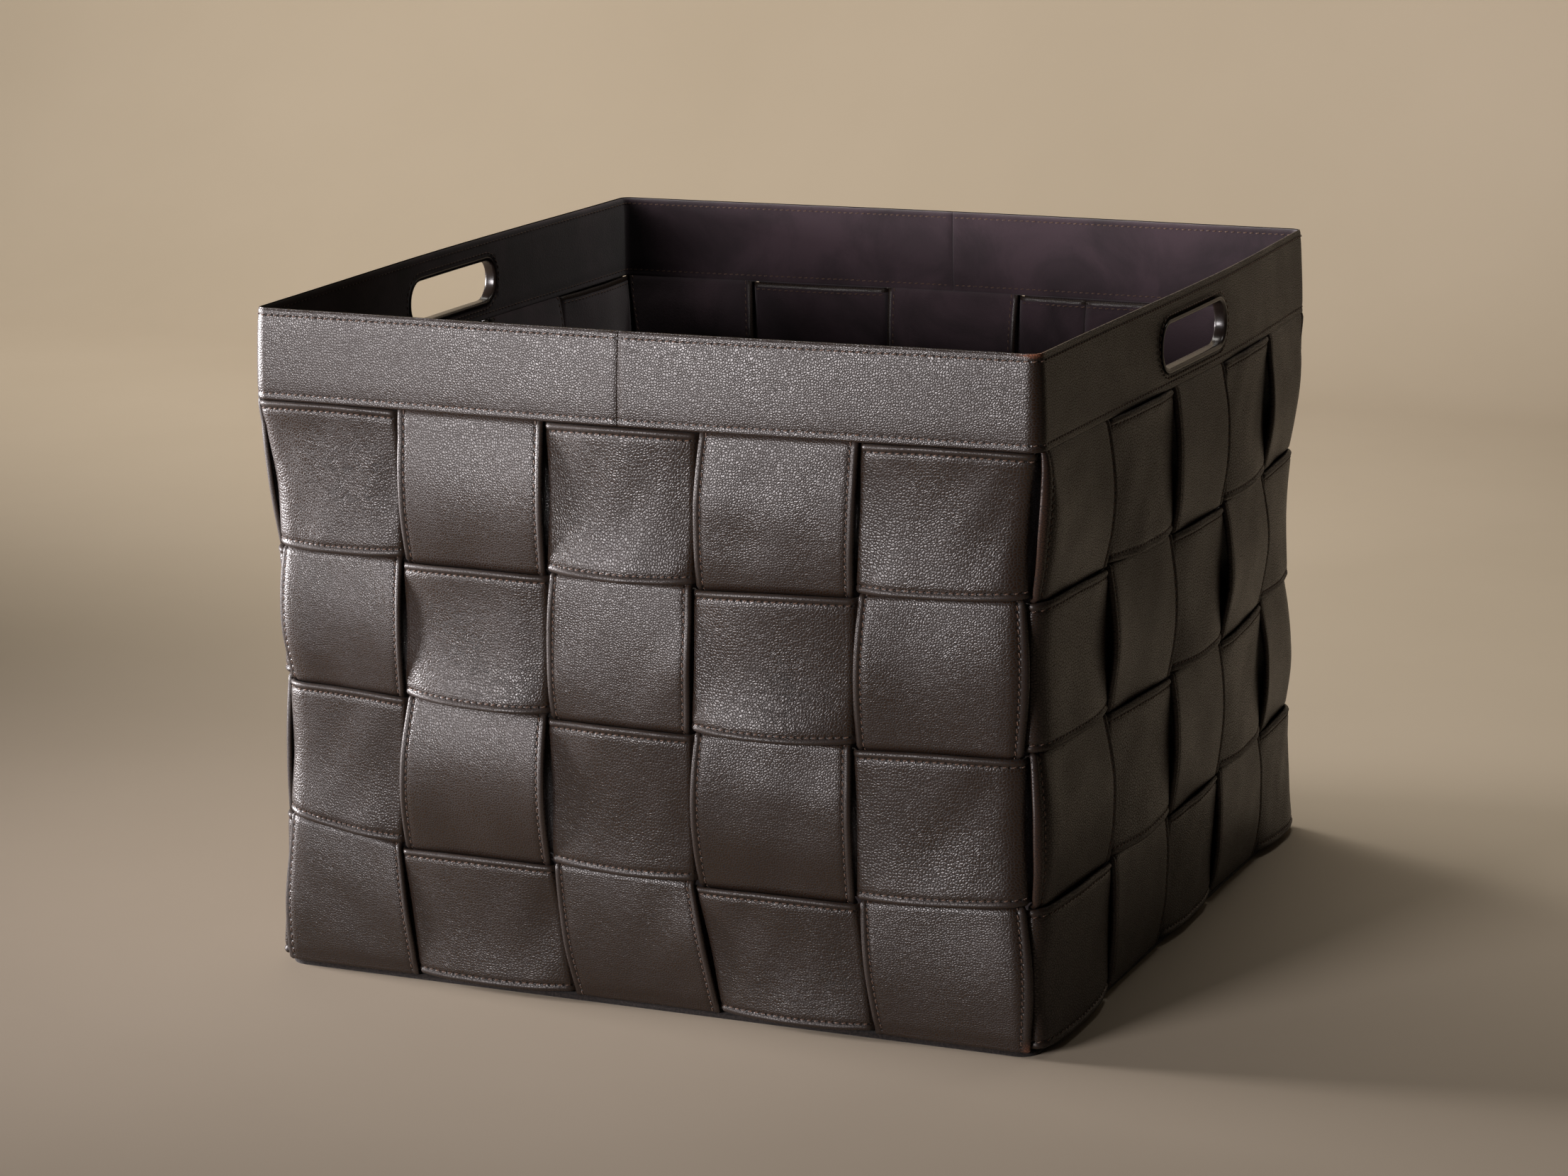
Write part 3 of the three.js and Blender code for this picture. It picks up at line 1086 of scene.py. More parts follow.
# %% [markdown]
# ## Bands
#
# A band goes once round the basket, and its ends meet behind an upright strap at the back, where
# nobody sees the join. The saddle shape of its outside squares is made by adding three parts to
# the plain arch: edges held out, sides pulled in under the straps, and the slack middle.

# %% Follow a band round the weave
# One column of leather, in mm, on the collar and along a band.
COLUMN_MM = 96.0
BAND_COLUMN_MM = 95.0
INSIDE_ARCH = 2.6


def band_wave(row, along, across):
    """The offset of a band's middle. Across goes from -1 at its lower edge to 1."""
    share = strap_share(0)[0]
    around = COLUMNS * WALLS
    columns = np.arange(-1, 2 * around + 1)
    levels = np.stack([columns + 0.5 - share / 2.0, columns + 0.5 + share / 2.0], axis=1).ravel()
    sides = np.repeat(band_side(row, columns), 2)
    column = np.floor(along).astype(int)
    place = (along - column - 0.5) * 2.0 / share
    which = column % around
    outside = band_side(row, column) > 0
    upper = 1.0 - 0.5 * (across > 0.0)
    held = upper * band_edges[row, which] * across**2 * (1.0 - np.clip(np.abs(place), 0.0, 1.0) ** 4)
    pulled = band_tuck[row, which] * smooth_step(np.abs(place), 0.5, 1.0) * (1.0 - across**2) ** 2
    bulge_out = band_arch[row, which] * arch(place) + held - pulled
    bulge = np.where(outside, bulge_out, -INSIDE_ARCH * arch(place))
    return CROSSING * np.interp(along, levels, sides) + bulge


def band_point(row, along, across, height):
    """A place on the band: columns round it, across it and height over its middle, in mm."""
    out = band_wave(row, along, np.clip(across / ROW_HALF, -1.0, 1.0))
    lumps = unevenness(across, along * COLUMN_MM, 40 + row)
    column = np.floor(along).astype(int)
    on_top = (band_side(row, column) > 0.0) * arch((along - column - 0.5) * 2.0)
    spread = 1.0 + SPREAD / ROW_HALF * on_top
    place, level = shifted(along, ROW_MIDDLE[row] + across * spread)
    return on_wall(place, out + lumps + height, level)


def seam_column(row):
    """The back column behind whose strap the band's ends meet."""
    back = 2 * COLUMNS + 1
    return back + 1 if band_side(row, back) > 0 else back


def band_stations(row):
    share, pitch = strap_share(0)
    start = seam_column(row) + 0.5
    stations = []
    for column in range(seam_column(row), seam_column(row) + COLUMNS * WALLS + 1):
        stations += list(column + 0.5 - square_stations() * share / 2.0)
        stations += list(column + 1.0 + (1.0 - share) * np.array([-0.25, 0.0, 0.25]))
    stations = np.array(stations)
    gap = 0.2 / pitch
    inside = (stations > start + gap) & (stations < start + COLUMNS * WALLS - gap)
    return np.concatenate([[start + gap], stations[inside], [start + COLUMNS * WALLS - gap]])


# %% [markdown]
# The four bands are the same sweep, carried round the basket instead of down it. A few of their
# squares were bent hard while the straps were pulled through, and those are the creased ones.

# %% Make the four bands
CREASED = {
    (0, 0): 0.75,
    (1, 1): 0.45,
    (1, 3): 0.5,
    (3, 3): 0.3,
    (2, 2): 0.15,
    (0, 4): 0.15,
    (0, 2): 0.2,
}


def where_creased(row, column, lengthways, across):
    """How creased a place in a square is, from 0 to 1. Both places go from -1 to 1."""
    patch = np.random.default_rng(100 + row * 20 + column)
    middle = patch.uniform(-0.5, 0.5, 2)
    size = patch.uniform(0.5, 0.9)
    far = np.hypot(lengthways - middle[0], across - middle[1]) / size
    return np.exp(-(far**2))


def make_band(row):
    section = strap_section(2.0 * ROW_HALF)
    stations = band_stations(row)[:, None]
    points = band_point(row, stations, section[None, :, 0], section[None, :, 1])
    rings, around = points.shape[:2]
    faces = ring_faces(rings, around, closed=False)
    caps = [list(range(around)), list(range((rings - 1) * around, rings * around))]
    across = section[None, :, 0]
    down = across + 300.0 * row + 9000.0
    flat = np.stack(np.broadcast_arrays(stations * BAND_COLUMN_MM, down), axis=-1) * MM
    edge = np.broadcast_to(section[None, :, 2], (rings, around))
    crease = np.full((rings, around), 0.02)
    for column in range(COLUMNS * WALLS):
        place = ((stations - column - 0.5) % (COLUMNS * WALLS) + 10.0) % 20.0 - 10.0
        strength = CREASED.get((row, column), luck.uniform(0.0, 0.12))
        strength = strength * (np.abs(place) < 0.52)
        crease = crease + strength * where_creased(row, column, 2.0 * place, across / ROW_HALF)
    marks = {"edge": edge, "crease": crease, "wear": np.zeros((rings, around))}
    second = suede_quads(section, rings - 1)
    piece = make_piece(
        f"woven_band_{row + 1}", points, faces, [BAND_LEATHER, SUEDE], caps, flat, marks, second
    )
    settle(piece, "grain_leather", f"band_{row + 1}")
    return piece


woven = [make_band(row) for row in range(ROWS)]
print("bands:", len(woven), "faces in each:", len(woven[0].data.polygons))

# %% [markdown]
# ## Collar
#
# Two strips of leather, joined by a seam in the middle of the front and of the back, cover the
# straps' upper ends. A suede strip lines them, and a stiff strip stands between. Both edges are
# stitched through, so the leather is drawn in at each stitch line and swells slightly between
# them. At the top the two skins close over the stiffener.
#
# Each grip slot is cut through with a Boolean, as a punch cuts the real one, because the cut
# edge is hidden by the binding that follows.

# %% Draw the collar's skins
COLLAR_SKIN = [
    (346.0, 2.2),
    (346.15, 2.85),
    (346.6, 3.25),
    (347.6, 3.45),
    (349.2, 3.3),
    (350.2, 3.05),
    (351.2, 3.2),
    (353.5, 3.45),
    (362.0, 3.6),
    (373.0, 3.65),
    (384.0, 3.6),
    (392.0, 3.45),
    (394.8, 3.2),
    (396.0, 3.0),
    (397.2, 3.15),
    (398.4, 3.1),
    (399.4, 2.75),
    (399.9, 2.2),
    (400.0, 1.5),
    (399.7, 0.9),
    (399.0, 0.55),
    (397.0, 0.9),
    (395.5, 1.1),
    (388.0, 1.1),
    (370.0, 1.1),
    (352.0, 1.1),
    (347.0, 1.1),
    (346.2, 1.5),
]
LINING_SKIN = [
    (346.0, -2.0),
    (346.3, -1.4),
    (347.0, -1.1),
    (360.0, -1.1),
    (380.0, -1.1),
    (395.5, -1.1),
    (397.2, -0.7),
    (398.4, -0.1),
    (399.2, 0.2),
    (399.5, -0.5),
    (399.3, -1.3),
    (398.6, -2.1),
    (397.4, -2.7),
    (396.0, -2.45),
    (394.4, -2.75),
    (388.0, -3.0),
    (373.0, -3.1),
    (358.0, -3.0),
    (352.0, -2.8),
    (350.2, -2.4),
    (348.4, -2.8),
    (347.0, -2.85),
    (346.3, -2.6),
]
BOARD = [(354.6, 0.5), (355.0, 0.75), (394.6, 0.75), (395.0, 0.5), (395.0, -0.5), (394.6, -0.75)]
BOARD += [(355.0, -0.75), (354.6, -0.5)]
SEAM_GAP = 0.2
LOWER_SEAM, UPPER_SEAM = 350.2, 396.0
COLLAR_HALVES = {"right": (2.44, 12.5), "left": (12.5, 22.44)}


def collar_stations(start, end):
    """Places along one half of the collar, closer together near the seams and corners."""
    seam = SEAM_GAP / 2.0 / COLUMN_MM
    run = np.arange(start, end, 1.0 / 22.0)
    corners = [np.linspace(-0.16, 0.16, 17) + corner for corner in (5.0, 10.0, 15.0, 20.0)]
    closer = np.array([0.004, 0.012, 0.025])
    places = np.unique(np.concatenate([run, start + closer, end - closer, *corners]).round(5))
    places = places[(places > start + seam) & (places < end - seam)]
    return np.concatenate([[start + seam], places, [end - seam]])


def seam_dip(along, start, end):
    """The skins' ends are turned in at the seams, which leaves a soft valley."""
    near = np.minimum(along - start, end - along) * COLUMN_MM
    return -0.4 * np.exp(-near / 0.8) + 0.3 * np.exp(-(((near - 5.0) / 3.0) ** 2))


def collar_skin(name, start, end, skin, material):
    stations = collar_stations(start, end)[:, None]
    z = np.array([level for level, out in skin])[None, :]
    out = np.array([out for level, out in skin])[None, :]
    face = np.sign(np.abs(out) - 1.2).clip(0.0, 1.0) * np.sign(out)
    lumps = 0.5 * unevenness(z, stations * COLUMN_MM, 60 + int(start))
    lay_in = 2.0 * smooth_step(z, 340.0, 410.0) * (face > 0.0)
    points = on_wall(stations, out - lay_in + face * (seam_dip(stations, start, end) + 0.5 * lumps), z)
    rings, around = points.shape[:2]
    faces = ring_faces(rings, around, closed=False)
    caps = [list(range(around)), list(range((rings - 1) * around, rings * around))]
    flat = np.stack(np.broadcast_arrays(stations * COLUMN_MM, z + 5000.0), axis=-1) * MM
    from_seam = np.minimum(np.abs(z - LOWER_SEAM), np.abs(z - UPPER_SEAM))
    edge = np.broadcast_to(from_seam + STITCH_INSET, (rings, around))
    wear = smooth_step(z, 397.5, 399.6) * np.exp(-(((stations - 4.99) * COLUMN_MM / 7.0) ** 2))
    marks = {"edge": edge, "crease": np.full((rings, around), 0.03), "wear": wear}
    return make_piece(name, points, faces, [material], caps, flat, marks)


print("places along half the collar:", len(collar_stations(*COLLAR_HALVES["right"])))

# %% [markdown]
# A grip slot is as long as four fingers are wide and is rounded so that it doesn't tear. The same
# outline, grown by different amounts, gives the cut, the binding and its line of stitches.

# %% Draw the grip slots
SLOT_LONG, SLOT_TALL, SLOT_RADIUS = 112.0, 26.0, 12.0
facing_low, facing_high = box_mm("grip_facing_right")
SLOT_MIDDLE = (facing_low[2] + facing_high[2]) / 2.0


def slot_outline(growth, straight_steps=20, turn_steps=9):
    """A rounded oblong as rows of: place along the wall and height over its middle, in mm."""
    long = SLOT_LONG / 2.0 - SLOT_RADIUS
    tall = SLOT_TALL / 2.0 - SLOT_RADIUS
    radius = SLOT_RADIUS + growth
    outline = []
    for quarter, (side, level) in enumerate([(1, 1), (-1, 1), (-1, -1), (1, -1)]):
        turn = (quarter + np.linspace(0.0, 1.0, turn_steps)) * np.pi / 2.0
        x = side * long + radius * np.cos(turn)
        z = level * tall + radius * np.sin(turn)
        outline += list(zip(x, z))
        if quarter in (0, 2):
            x, z = outline[-1]
            outline += [(step, z) for step in np.linspace(x, -x, straight_steps)[1:-1]]
    return np.array(outline)


def cut_slot(piece, wall):
    """Cuts the slot for the binding through one skin."""
    outline = slot_outline(1.9)
    depth = np.array([-9.0, 9.0])[:, None]
    along = (wall + 0.5) * COLUMNS + outline[None, :, 0] / strap_share(wall)[1]
    points = on_wall(along, depth, SLOT_MIDDLE + outline[None, :, 1])
    around = len(outline)
    caps = [list(range(around)), list(range(around, 2 * around))]
    punch = make_piece("punch", points, ring_faces(2, around, closed=False), [], caps)
    cut = piece.modifiers.new("slot", "BOOLEAN")
    cut.operation = "DIFFERENCE"
    cut.solver = "EXACT"
    cut.object = punch
    bpy.context.view_layer.update()
    shaped = piece.evaluated_get(bpy.context.evaluated_depsgraph_get())
    mesh = bpy.data.meshes.new_from_object(shaped)
    piece.modifiers.clear()
    piece.data = mesh
    bpy.data.objects.remove(punch)


print("points round a slot:", len(slot_outline(0.0)))

# %% [markdown]
# Each half of the collar is three layers: leather, suede and the strip of fibre board between
# them that keeps the rim straight. All three are cut through for the slot.

# %% Make the collar
for side, (start, end) in COLLAR_HALVES.items():
    wall = 1 if side == "right" else 3
    leather = collar_skin(f"collar_skin_{side}", start, end, COLLAR_SKIN, COLLAR_LEATHER)
    cut_slot(leather, wall)
    settle(leather, "grain_leather", f"collar_leather_{side}")
    lining = collar_skin(f"collar_suede_{side}", start, end, LINING_SKIN, SUEDE)
    cut_slot(lining, wall)
    settle(lining, "suede", f"collar_lining_{side}")
    board = collar_skin(f"collar_board_{side}", start, end, BOARD, FIBRE_BOARD)
    cut_slot(board, wall)
    settle(board, "fibre_board", f"collar_stiffener_{side}")
    print("collar", side, "faces:", len(leather.data.polygons), len(lining.data.polygons))

# %% [markdown]
# ## Grip bindings
#
# A strip of leather folded round each slot's edge keeps it from tearing. It stands half a
# millimetre proud of the collar on both sides and its round lip is the first thing that catches
# the light. It is a ring: a C-shaped section carried round the slot.

# %% Make the grip bindings
BINDING = [
    (1.75, 3.45),
    (2.7, 3.6),
    (2.9, 3.85),
    (2.5, 4.15),
    (1.7, 4.3),
    (0.8, 4.1),
    (0.2, 3.5),
    (0.0, 2.5),
    (0.0, 0.3),
    (0.0, -2.0),
    (0.2, -3.0),
    (0.8, -3.6),
    (1.7, -3.8),
    (2.5, -3.65),
    (2.9, -3.4),
    (2.7, -3.15),
    (1.75, -3.05),
    (1.6, 0.3),
]


def make_binding(side, wall):
    outlines = np.stack([slot_outline(growth) for growth, out in BINDING], axis=1)
    along = (wall + 0.5) * COLUMNS + outlines[..., 0] / strap_share(wall)[1]
    depth = np.array([out for growth, out in BINDING])[None, :]
    points = on_wall(along, depth, SLOT_MIDDLE + outlines[..., 1])
    faces = ring_faces(points.shape[0], points.shape[1], closed=True)
    piece = make_piece(f"grip_binding_{side}", points, faces, [EDGE_PAINT])
    settle(piece, "edge_paint", f"grip_facing_{side}")
    return piece


bindings = [make_binding("right", 1), make_binding("left", 3)]
print("binding faces:", len(bindings[0].data.polygons))

# %% [markdown]
# ## Floor of the basket
#
# The felt cover lies under the straps' turned ends, and shows as a dark line all round the foot.
# Inside, a sheet of suede lies on the stiff board. Both are sheets cut with rounded corners. A
# simulation would leave them flat where they are held, so they are drawn flat with a slightly
# swollen edge, and the suede has the faint waves of a sheet that was glued by hand.

# %% Make the felt and the floor suede
def make_sheet(name, node, material, corner, waves):
    """A flat sheet inside a CAD node's box, with rounded corners and rounded edges."""
    low, high = box_mm(node)
    half = (high[:2] - low[:2]) / 2.0
    thick = high[2] - low[2]
    profile = [(0.35, 0.0), (0.1, 0.15), (0.0, 0.5), (0.1, 0.85), (0.35, 1.0)]
    steps = np.linspace(0.0, np.pi / 2.0, 7)
    rings = []
    for inset, level in profile:
        ring = []
        for quarter, (sx, sy) in enumerate([(1, 1), (-1, 1), (-1, -1), (1, -1)]):
            turn = quarter * np.pi / 2.0 + steps
            x = sx * (half[0] - corner) + (corner - inset) * np.cos(turn)
            y = sy * (half[1] - corner) + (corner - inset) * np.sin(turn)
            ring += [(a, b, low[2] + level * thick) for a, b in zip(x, y)]
        rings.append(ring)
    around = len(rings[0])
    shell = np.array(rings)
    top = shell[-1]
    inner = []
    for share in np.linspace(0.93, 0.07, 14):
        spot = top * [share, share, 1.0]
        ripple = np.sin(spot[:, 0] / 37.0 + np.cos(spot[:, 1] / 51.0) * 2.0)
        spot[:, 2] = high[2] - waves * (1.0 + ripple)
        inner.append(spot)
    shell = np.concatenate([shell, np.array(inner)])
    caps = [list(range(around)), list(range((len(shell) - 1) * around, len(shell) * around))]
    return make_piece(name, shell, ring_faces(len(shell), around, closed=False), [material], caps)


felt = make_sheet("floor_felt", "base_cover", FELT, 12.0, 0.0)
settle(felt, "felt", "base_cover")

floor_suede = make_sheet("floor_suede", "base_lining", SUEDE, 2.4, 0.12)
settle(floor_suede, "suede", "base_lining")

# %% [markdown]
# The floor board is a plain flat sheet that is hidden between suede and felt, so the CAD model's
# own board stays and only gets its finish.

# %% Give the floor board its finish
floor_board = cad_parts["base_board"]
floor_board.data.materials.clear()
floor_board.data.materials.append(FIBRE_BOARD)
print("board finish:", floor_board.data.materials[0].name)

# %% [markdown]
# ## Stitches
#
# Every strap, band and collar edge is sewn with a thick waxed thread, six stitches to the inch.
# Each stitch is a short rope lying in its groove, slanted a little because the awl's cuts are,
# with both ends diving into the leather. They could be faked with a picture, but real little
# ropes catch the light properly. Thousands are needed, so each is as plain as it can be: a bent
# five-sided rod. They are placed by the same formulas as the leather that they hold.

# %% Make a stitch, and sew a seam of them
STITCH_LENGTH = 3.0
STITCH_WIDE = 0.4
STITCH_SLANT = math.radians(12.0)
ROD_SIDES = 5


def stitch_rod():
    """One stitch's points (lengthways, sideways, upwards) and faces."""
    places = np.array([-0.5, -0.3, 0.3, 0.5]) * STITCH_LENGTH
    lifts = np.array([-0.45, 0.12, 0.12, -0.45])
    sizes = np.array([0.6, 1.0, 1.0, 0.6]) * STITCH_WIDE
    turn = np.arange(ROD_SIDES) * 2.0 * np.pi / ROD_SIDES + np.pi / 2.0
    rings = []
    for place, lift, size in zip(places, lifts, sizes):
        side = size * np.cos(turn)
        up = lift + size * 0.85 * np.sin(turn)
        rings.append(np.stack([np.full(ROD_SIDES, place), side, up], axis=1))
    rod = np.concatenate(rings)
    lengthways = rod[:, 0] * math.cos(STITCH_SLANT) - rod[:, 1] * math.sin(STITCH_SLANT)
    sideways = rod[:, 0] * math.sin(STITCH_SLANT) + rod[:, 1] * math.cos(STITCH_SLANT)
    return np.stack([lengthways, sideways, rod[:, 2]], axis=1)


ROD = stitch_rod()
ROD_FACES = ring_faces(4, ROD_SIDES, closed=False)
ROD_ENDS = np.array([[0, 1, 2, 3, 4], [15, 16, 17, 18, 19]])


def sew(surface, places, step, side):
    """Stitches on a surface. Step and side are small moves along and across the seam."""
    here = surface(places)
    ahead = surface(places + step) - surface(places - step)
    beside = surface(places + side) - surface(places - side)
    ahead /= np.linalg.norm(ahead, axis=1, keepdims=True)
    up = np.cross(ahead, beside)
    up /= np.linalg.norm(up, axis=1, keepdims=True)
    across = np.cross(up, ahead)
    frame_axes = np.stack([ahead, across, up], axis=1)
    return here[:, None, :] + np.einsum("kc,ncd->nkd", ROD, frame_axes)


def make_stitching(name, seams, *nodes):
    """One piece from many seams of stitches."""
    points = np.concatenate(seams)
    count = len(points)
    offsets = (np.arange(count) * len(ROD))[:, None, None]
    sides = (ROD_FACES[None] + offsets).reshape(-1, 4)
    ends = (ROD_ENDS[None] + offsets).reshape(-1, ROD_SIDES)
    piece = make_piece(name, points, sides, [THREAD], ends.tolist())
    settle(piece, "thread", *nodes)
    return count


def pitch_places(start, end):
    """Places between two lengths that are whole numbers of stitch pitches."""
    first = math.ceil(start / STITCH_PITCH)
    last = math.floor(end / STITCH_PITCH)
    return np.arange(first, last + 1) * STITCH_PITCH


print("stitches in 100 mm:", len(pitch_places(0.0, 100.0)))

# %% [markdown]
# Both edges of a strap are sewn from end to end, but the parts that are hidden under a band don't
# need thread. So each square is sewn on the face that shows: outside where the strap is on top,
# and inside where it passes behind.

# %% Sew the straps
GROOVE_OUTSIDE = 1.2
GROOVE_INSIDE = -1.35
SHOWN_BEYOND = 4.0
seams = {("outside", wall): [] for wall in range(WALLS)}
seams.update({("inside", wall): [] for wall in range(WALLS)})


def sew_strap(column):
    wall = column // COLUMNS
    share, pitch = strap_share(wall)
    course = strap_courses[column]
    for row in range(ROWS):
        strap_is_outside = band_side(row, column) < 0
        high = np.interp(-ROW_HIGH[row] - SHOWN_BEYOND * (row > 0), -course["z"], course["length"])
        beyond = SHOWN_BEYOND if row < 3 else 0.0
        low = np.interp(-ROW_LOW[row] + beyond, -course["z"], course["length"])
        height = GROOVE_OUTSIDE if strap_is_outside else GROOVE_INSIDE
        flip = 1.0 if strap_is_outside else -1.0
        for edge in (-1.0, 1.0):
            across = edge * (share * pitch / 2.0 - STITCH_INSET)
            lengths = pitch_places(high, low)
            places = np.stack([lengths, np.full(len(lengths), across)], axis=1)
            surface = lambda p: strap_point(column, course, p[:, 0], p[:, 1], height)
            side = np.array([0.0, 0.3]) * flip
            group = seams[("outside" if strap_is_outside else "inside", wall)]
            group.append(sew(surface, places, np.array([0.5, 0.0]), side))


for column in range(COLUMNS * WALLS):
    sew_strap(column)
print("strap seams:", sum(len(group) for group in seams.values()))


# %% [markdown]
# The bands are sewn in the same way, square by square round the basket. Once a wall's outside or
# inside is complete, its stitches become one piece.

# %% Sew the bands
def sew_band(row):
    for column in range(COLUMNS * WALLS):
        wall = column // COLUMNS
        band_is_outside = band_side(row, column) > 0
        turns = COLUMNS * WALLS if column < seam_column(row) + 0.5 else 0
        start = (column + turns + 0.02) * BAND_COLUMN_MM
        end = (column + turns + 0.98) * BAND_COLUMN_MM
        height = GROOVE_OUTSIDE if band_is_outside else GROOVE_INSIDE
        flip = 1.0 if band_is_outside else -1.0
        lengths = pitch_places(start, end)
        for edge in (-1.0, 1.0):
            across = edge * (ROW_HALF - STITCH_INSET)
            places = np.stack([lengths / BAND_COLUMN_MM, np.full(len(lengths), across)], axis=1)
            surface = lambda p: band_point(row, p[:, 0], p[:, 1], height)
            side = np.array([0.0, 0.3]) * flip
            group = seams[("outside" if band_is_outside else "inside", wall)]
            group.append(sew(surface, places, np.array([0.005, 0.0]), side))


for row in range(ROWS):
    sew_band(row)
for (face, wall), group in seams.items():
    count = make_stitching(f"stitching_{face}_{WALL_NAMES[wall]}", group)
    print("stitches", face, WALL_NAMES[wall], count)


# %% [markdown]
# The collar has a seam near its lower edge and one near the rim, both sewn right through, and each
# slot has a seam round it that holds its binding. These show on the leather and on the suede.

# %% Sew the collar and round the slots
def sew_collar(start, end):
    rows = []
    for level, outer, inner in ((LOWER_SEAM, 2.95, -2.4), (UPPER_SEAM, 1.55, -2.45)):
        lengths = pitch_places(start * COLUMN_MM + 1.5, end * COLUMN_MM - 1.5)
        places = np.stack([lengths / COLUMN_MM, np.full(len(lengths), level)], axis=1)
        for out, flip in ((outer, 1.0), (inner, -1.0)):
            surface = lambda p: on_wall(p[:, 0], out, p[:, 1])
            rows.append(sew(surface, places, np.array([0.005, 0.0]), np.array([0.0, 0.3]) * flip))
    return rows


def sew_slot(wall):
    """A seam 3.5 mm outside the slot, on both faces of the collar."""
    outline = slot_outline(5.4)
    closed = np.concatenate([outline, outline[:1]])
    lengths = np.concatenate([[0.0], np.cumsum(np.hypot(*np.diff(closed, axis=0).T))])
    count = round(lengths[-1] / STITCH_PITCH)
    marks = (np.arange(count) + 0.5) * lengths[-1] / count

    def outline_place(length):
        return np.stack([np.interp(length, lengths, closed[:, axis]) for axis in (0, 1)])

    rows = []
    for out, flip in ((3.62, 1.0), (-3.05, -1.0)):

        def surface(p):
            here, before, after = (outline_place(p[:, 0] + step) for step in (0.0, -0.5, 0.5))
            slope = after - before
            x = here[0] + slope[1] * p[:, 1]
            z = here[1] - slope[0] * p[:, 1]
            along = (wall + 0.5) * COLUMNS + x / strap_share(wall)[1]
            return on_wall(along, out, SLOT_MIDDLE + z)

        places = np.stack([marks, np.zeros(count)], axis=1)
        rows.append(sew(surface, places, np.array([0.4, 0.0]), np.array([0.0, -0.3]) * flip))
    return rows


for side, (start, end) in COLLAR_HALVES.items():
    slot_wall = 1 if side == "right" else 3
    count = make_stitching(f"stitching_collar_{side}", sew_collar(start, end) + sew_slot(slot_wall))
    print("collar stitches", side, count)

# %% [markdown]
# ## Studio
#
# A plain pale floor runs back and curves up into a plain backdrop, so nothing draws the eye from
# the leather. One soft light stands low in front and to the left: its reflection is what makes
# the upper halves of the arches bright. The right side is left dark, as its wall faces away from
# the light.

# %% Lay the floor and backdrop
def make_backdrop():
    material, tree = new_finish("Pale seamless paper")
    place = add_node(tree, "ShaderNodeTexCoord").outputs["Object"]
    mottle = add_node(
        tree,
        "ShaderNodeTexNoise",
        None,
        {"Vector": place, "Scale": 2.2, "Detail": 4.0, "Roughness": 0.55},
    )
    colour = add_node(
        tree,
        "ShaderNodeMix",
        {"data_type": "RGBA"},
        {"Factor": mottle.outputs["Fac"], 6: linear("#ab9e8b"), 7: linear("#b6a997")},
    )
    shader = add_node(
        tree,
        "ShaderNodeBsdfPrincipled",
        None,
        {"Base Color": colour.outputs[2], "Roughness": 0.9, "Specular IOR Level": 0.1},
    )
    add_node(tree, "ShaderNodeOutputMaterial", None, {"Surface": shader.outputs["BSDF"]})
    turn = np.linspace(0.0, np.pi / 2.0, 16)
    back, radius = 1700.0, 500.0
    depth = np.concatenate([[-3200.0], back + radius * np.sin(turn), [back + radius]])
    height = np.concatenate([[0.0], radius * (1.0 - np.cos(turn)), [3400.0]])
    wide = np.array([-4200.0, 4200.0])[None, :]
    points = np.stack(np.broadcast_arrays(wide, depth[:, None], height[:, None]), axis=-1)
    count = len(depth)
    faces = np.array([[2 * i, 2 * i + 1, 2 * i + 3, 2 * i + 2] for i in range(count - 1)])
    backdrop = make_piece("backdrop", points, faces, [material])
    return backdrop


studio_paper = make_backdrop()
print("backdrop faces:", len(studio_paper.data.polygons))


# %% [markdown]
# The key light and the side light have narrow beams, like soft boxes with a grid in front, so that
# they light the basket and spill little on the floor. A bright floor would be mirrored in the
# lower rows of the weave and wash them out. The third light brightens the paper behind.

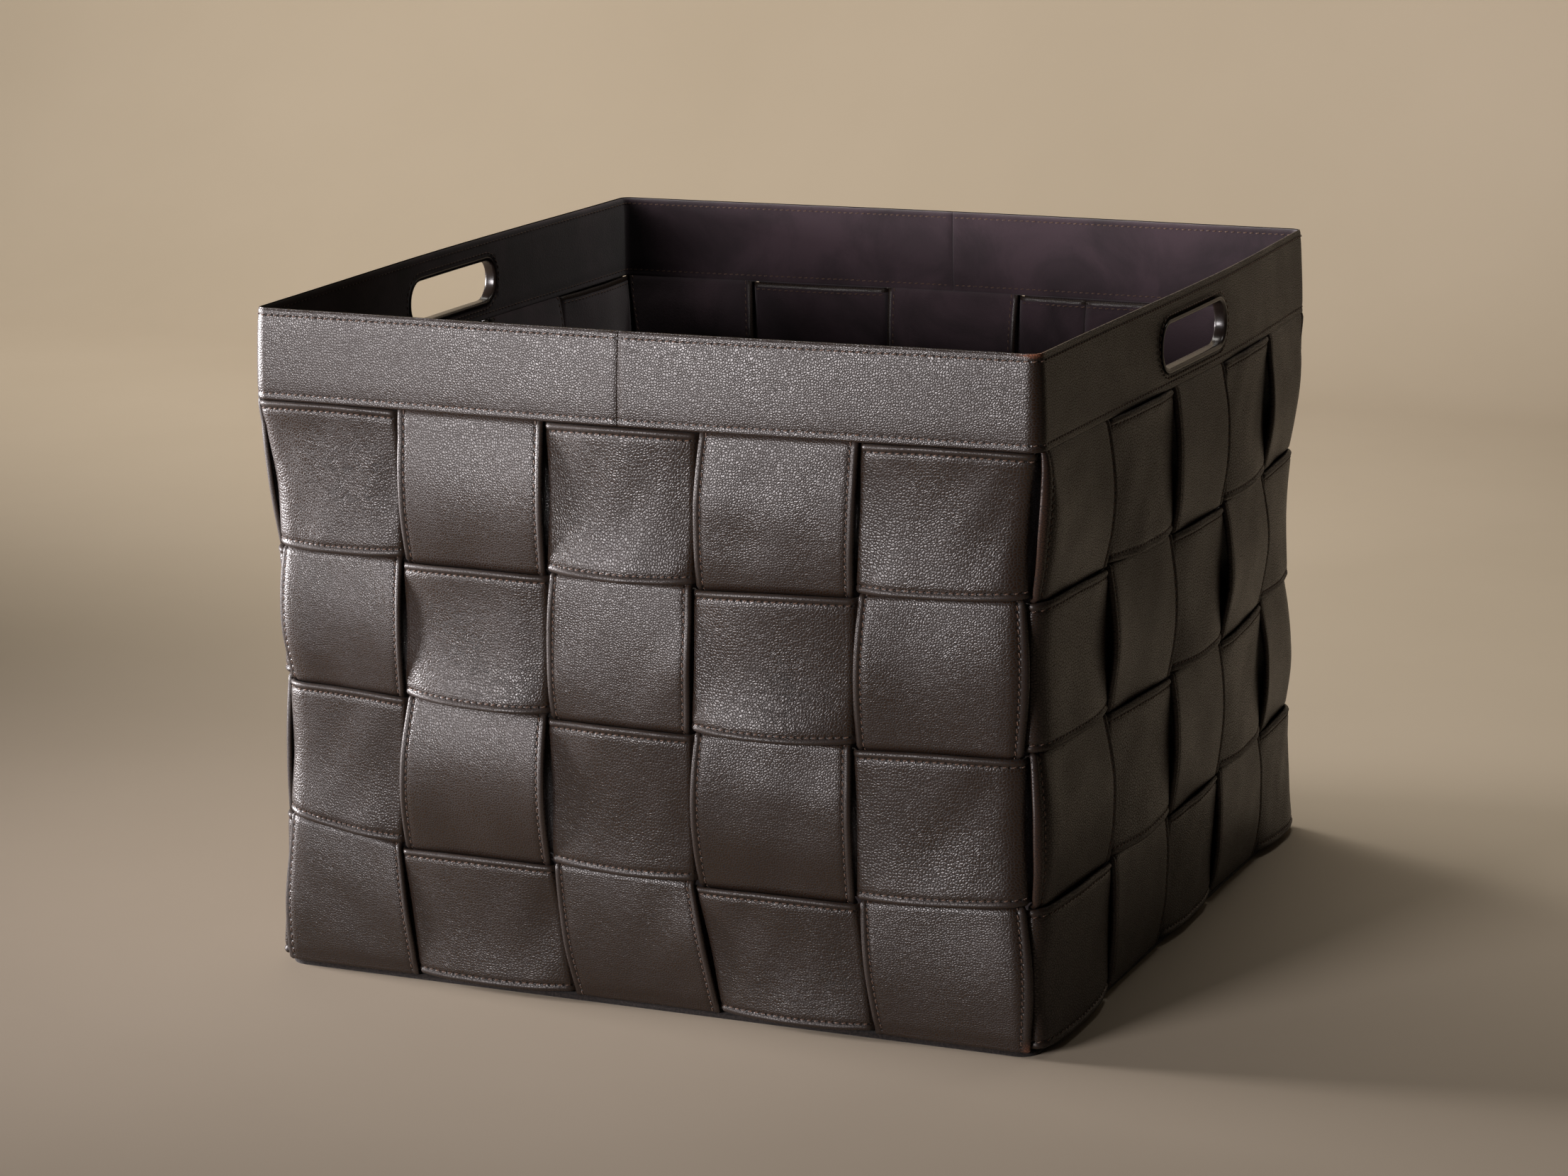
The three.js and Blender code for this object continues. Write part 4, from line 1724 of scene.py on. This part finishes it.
# %% Light it
def soft_light(name, place, target, size, power, colour, spread=180.0):
    """A rectangular soft light at a place, turned towards a target, in metres and degrees."""
    data = bpy.data.lights.new(name, "AREA")
    data.shape = "RECTANGLE"
    data.size, data.size_y = size
    data.energy = power
    data.color = linear(colour)[:3]
    data.spread = math.radians(spread)
    light = bpy.data.objects.new(name, data)
    light.location = place
    facing = Vector(target) - Vector(place)
    light.rotation_euler = facing.to_track_quat("-Z", "Y").to_euler()
    bpy.context.scene.collection.objects.link(light)


soft_light("key", (-0.83, -2.23, 0.61), (0.0, -0.2, 0.4), (0.8, 0.42), 4.9, "#fff9fb", 45.0)
soft_light("side", (-1.95, -0.35, 0.45), (0.0, -0.2, 0.36), (0.7, 0.5), 9.5, "#fff9fb", 45.0)
soft_light("backdrop", (-1.0, 0.85, 1.25), (-0.4, 2.1, 0.35), (3.2, 0.6), 41.0, "#fffaf4")
SLIGHT_GLOW = 0.02
world = bpy.data.worlds.new("studio")
world.use_nodes = True
world.node_tree.nodes["Background"].inputs["Color"].default_value = linear("#f2ebe2")
world.node_tree.nodes["Background"].inputs["Strength"].default_value = SLIGHT_GLOW
bpy.context.scene.world = world
bpy.context.scene.view_settings.view_transform = "Standard"
print("lights:", [light.name for light in bpy.data.lights])

# %% [markdown]
# ## Camera
#
# The camera stands to the right of the front wall, above the rim and looking down into the
# basket, far enough away for a long lens. Its place is given in basket heights, because that is
# how perspective measures it.

# %% Place the camera
HEIGHT = RIM * MM
SENSOR_WIDTH = 36.0
LENS_PER_SENSOR = 5871.0 / 2212.0
yaw, down, roll = math.radians(-23.3), math.radians(13.09), math.radians(-0.66)
forward = Vector((math.sin(yaw) * math.cos(down), math.cos(yaw) * math.cos(down), -math.sin(down)))
level = Vector((math.cos(yaw), -math.sin(yaw), 0.0))
upright = level.cross(forward)
right = math.cos(roll) * level + math.sin(roll) * upright
above = -math.sin(roll) * level + math.cos(roll) * upright

camera_data = bpy.data.cameras.new("camera")
camera_data.sensor_width = SENSOR_WIDTH
camera_data.lens = SENSOR_WIDTH * LENS_PER_SENSOR
camera_data.clip_end = 50.0
camera = bpy.data.objects.new("camera", camera_data)
axes = Matrix((right, above, -forward)).transposed()
camera.matrix_world = Matrix.Translation(Vector((2.466, -5.823, 1.964)) * HEIGHT) @ axes.to_4x4()
bpy.context.scene.collection.objects.link(camera)
bpy.context.scene.camera = camera
print("lens in mm:", round(camera_data.lens, 2))

# %% Update the scene
bpy.context.view_layer.update()
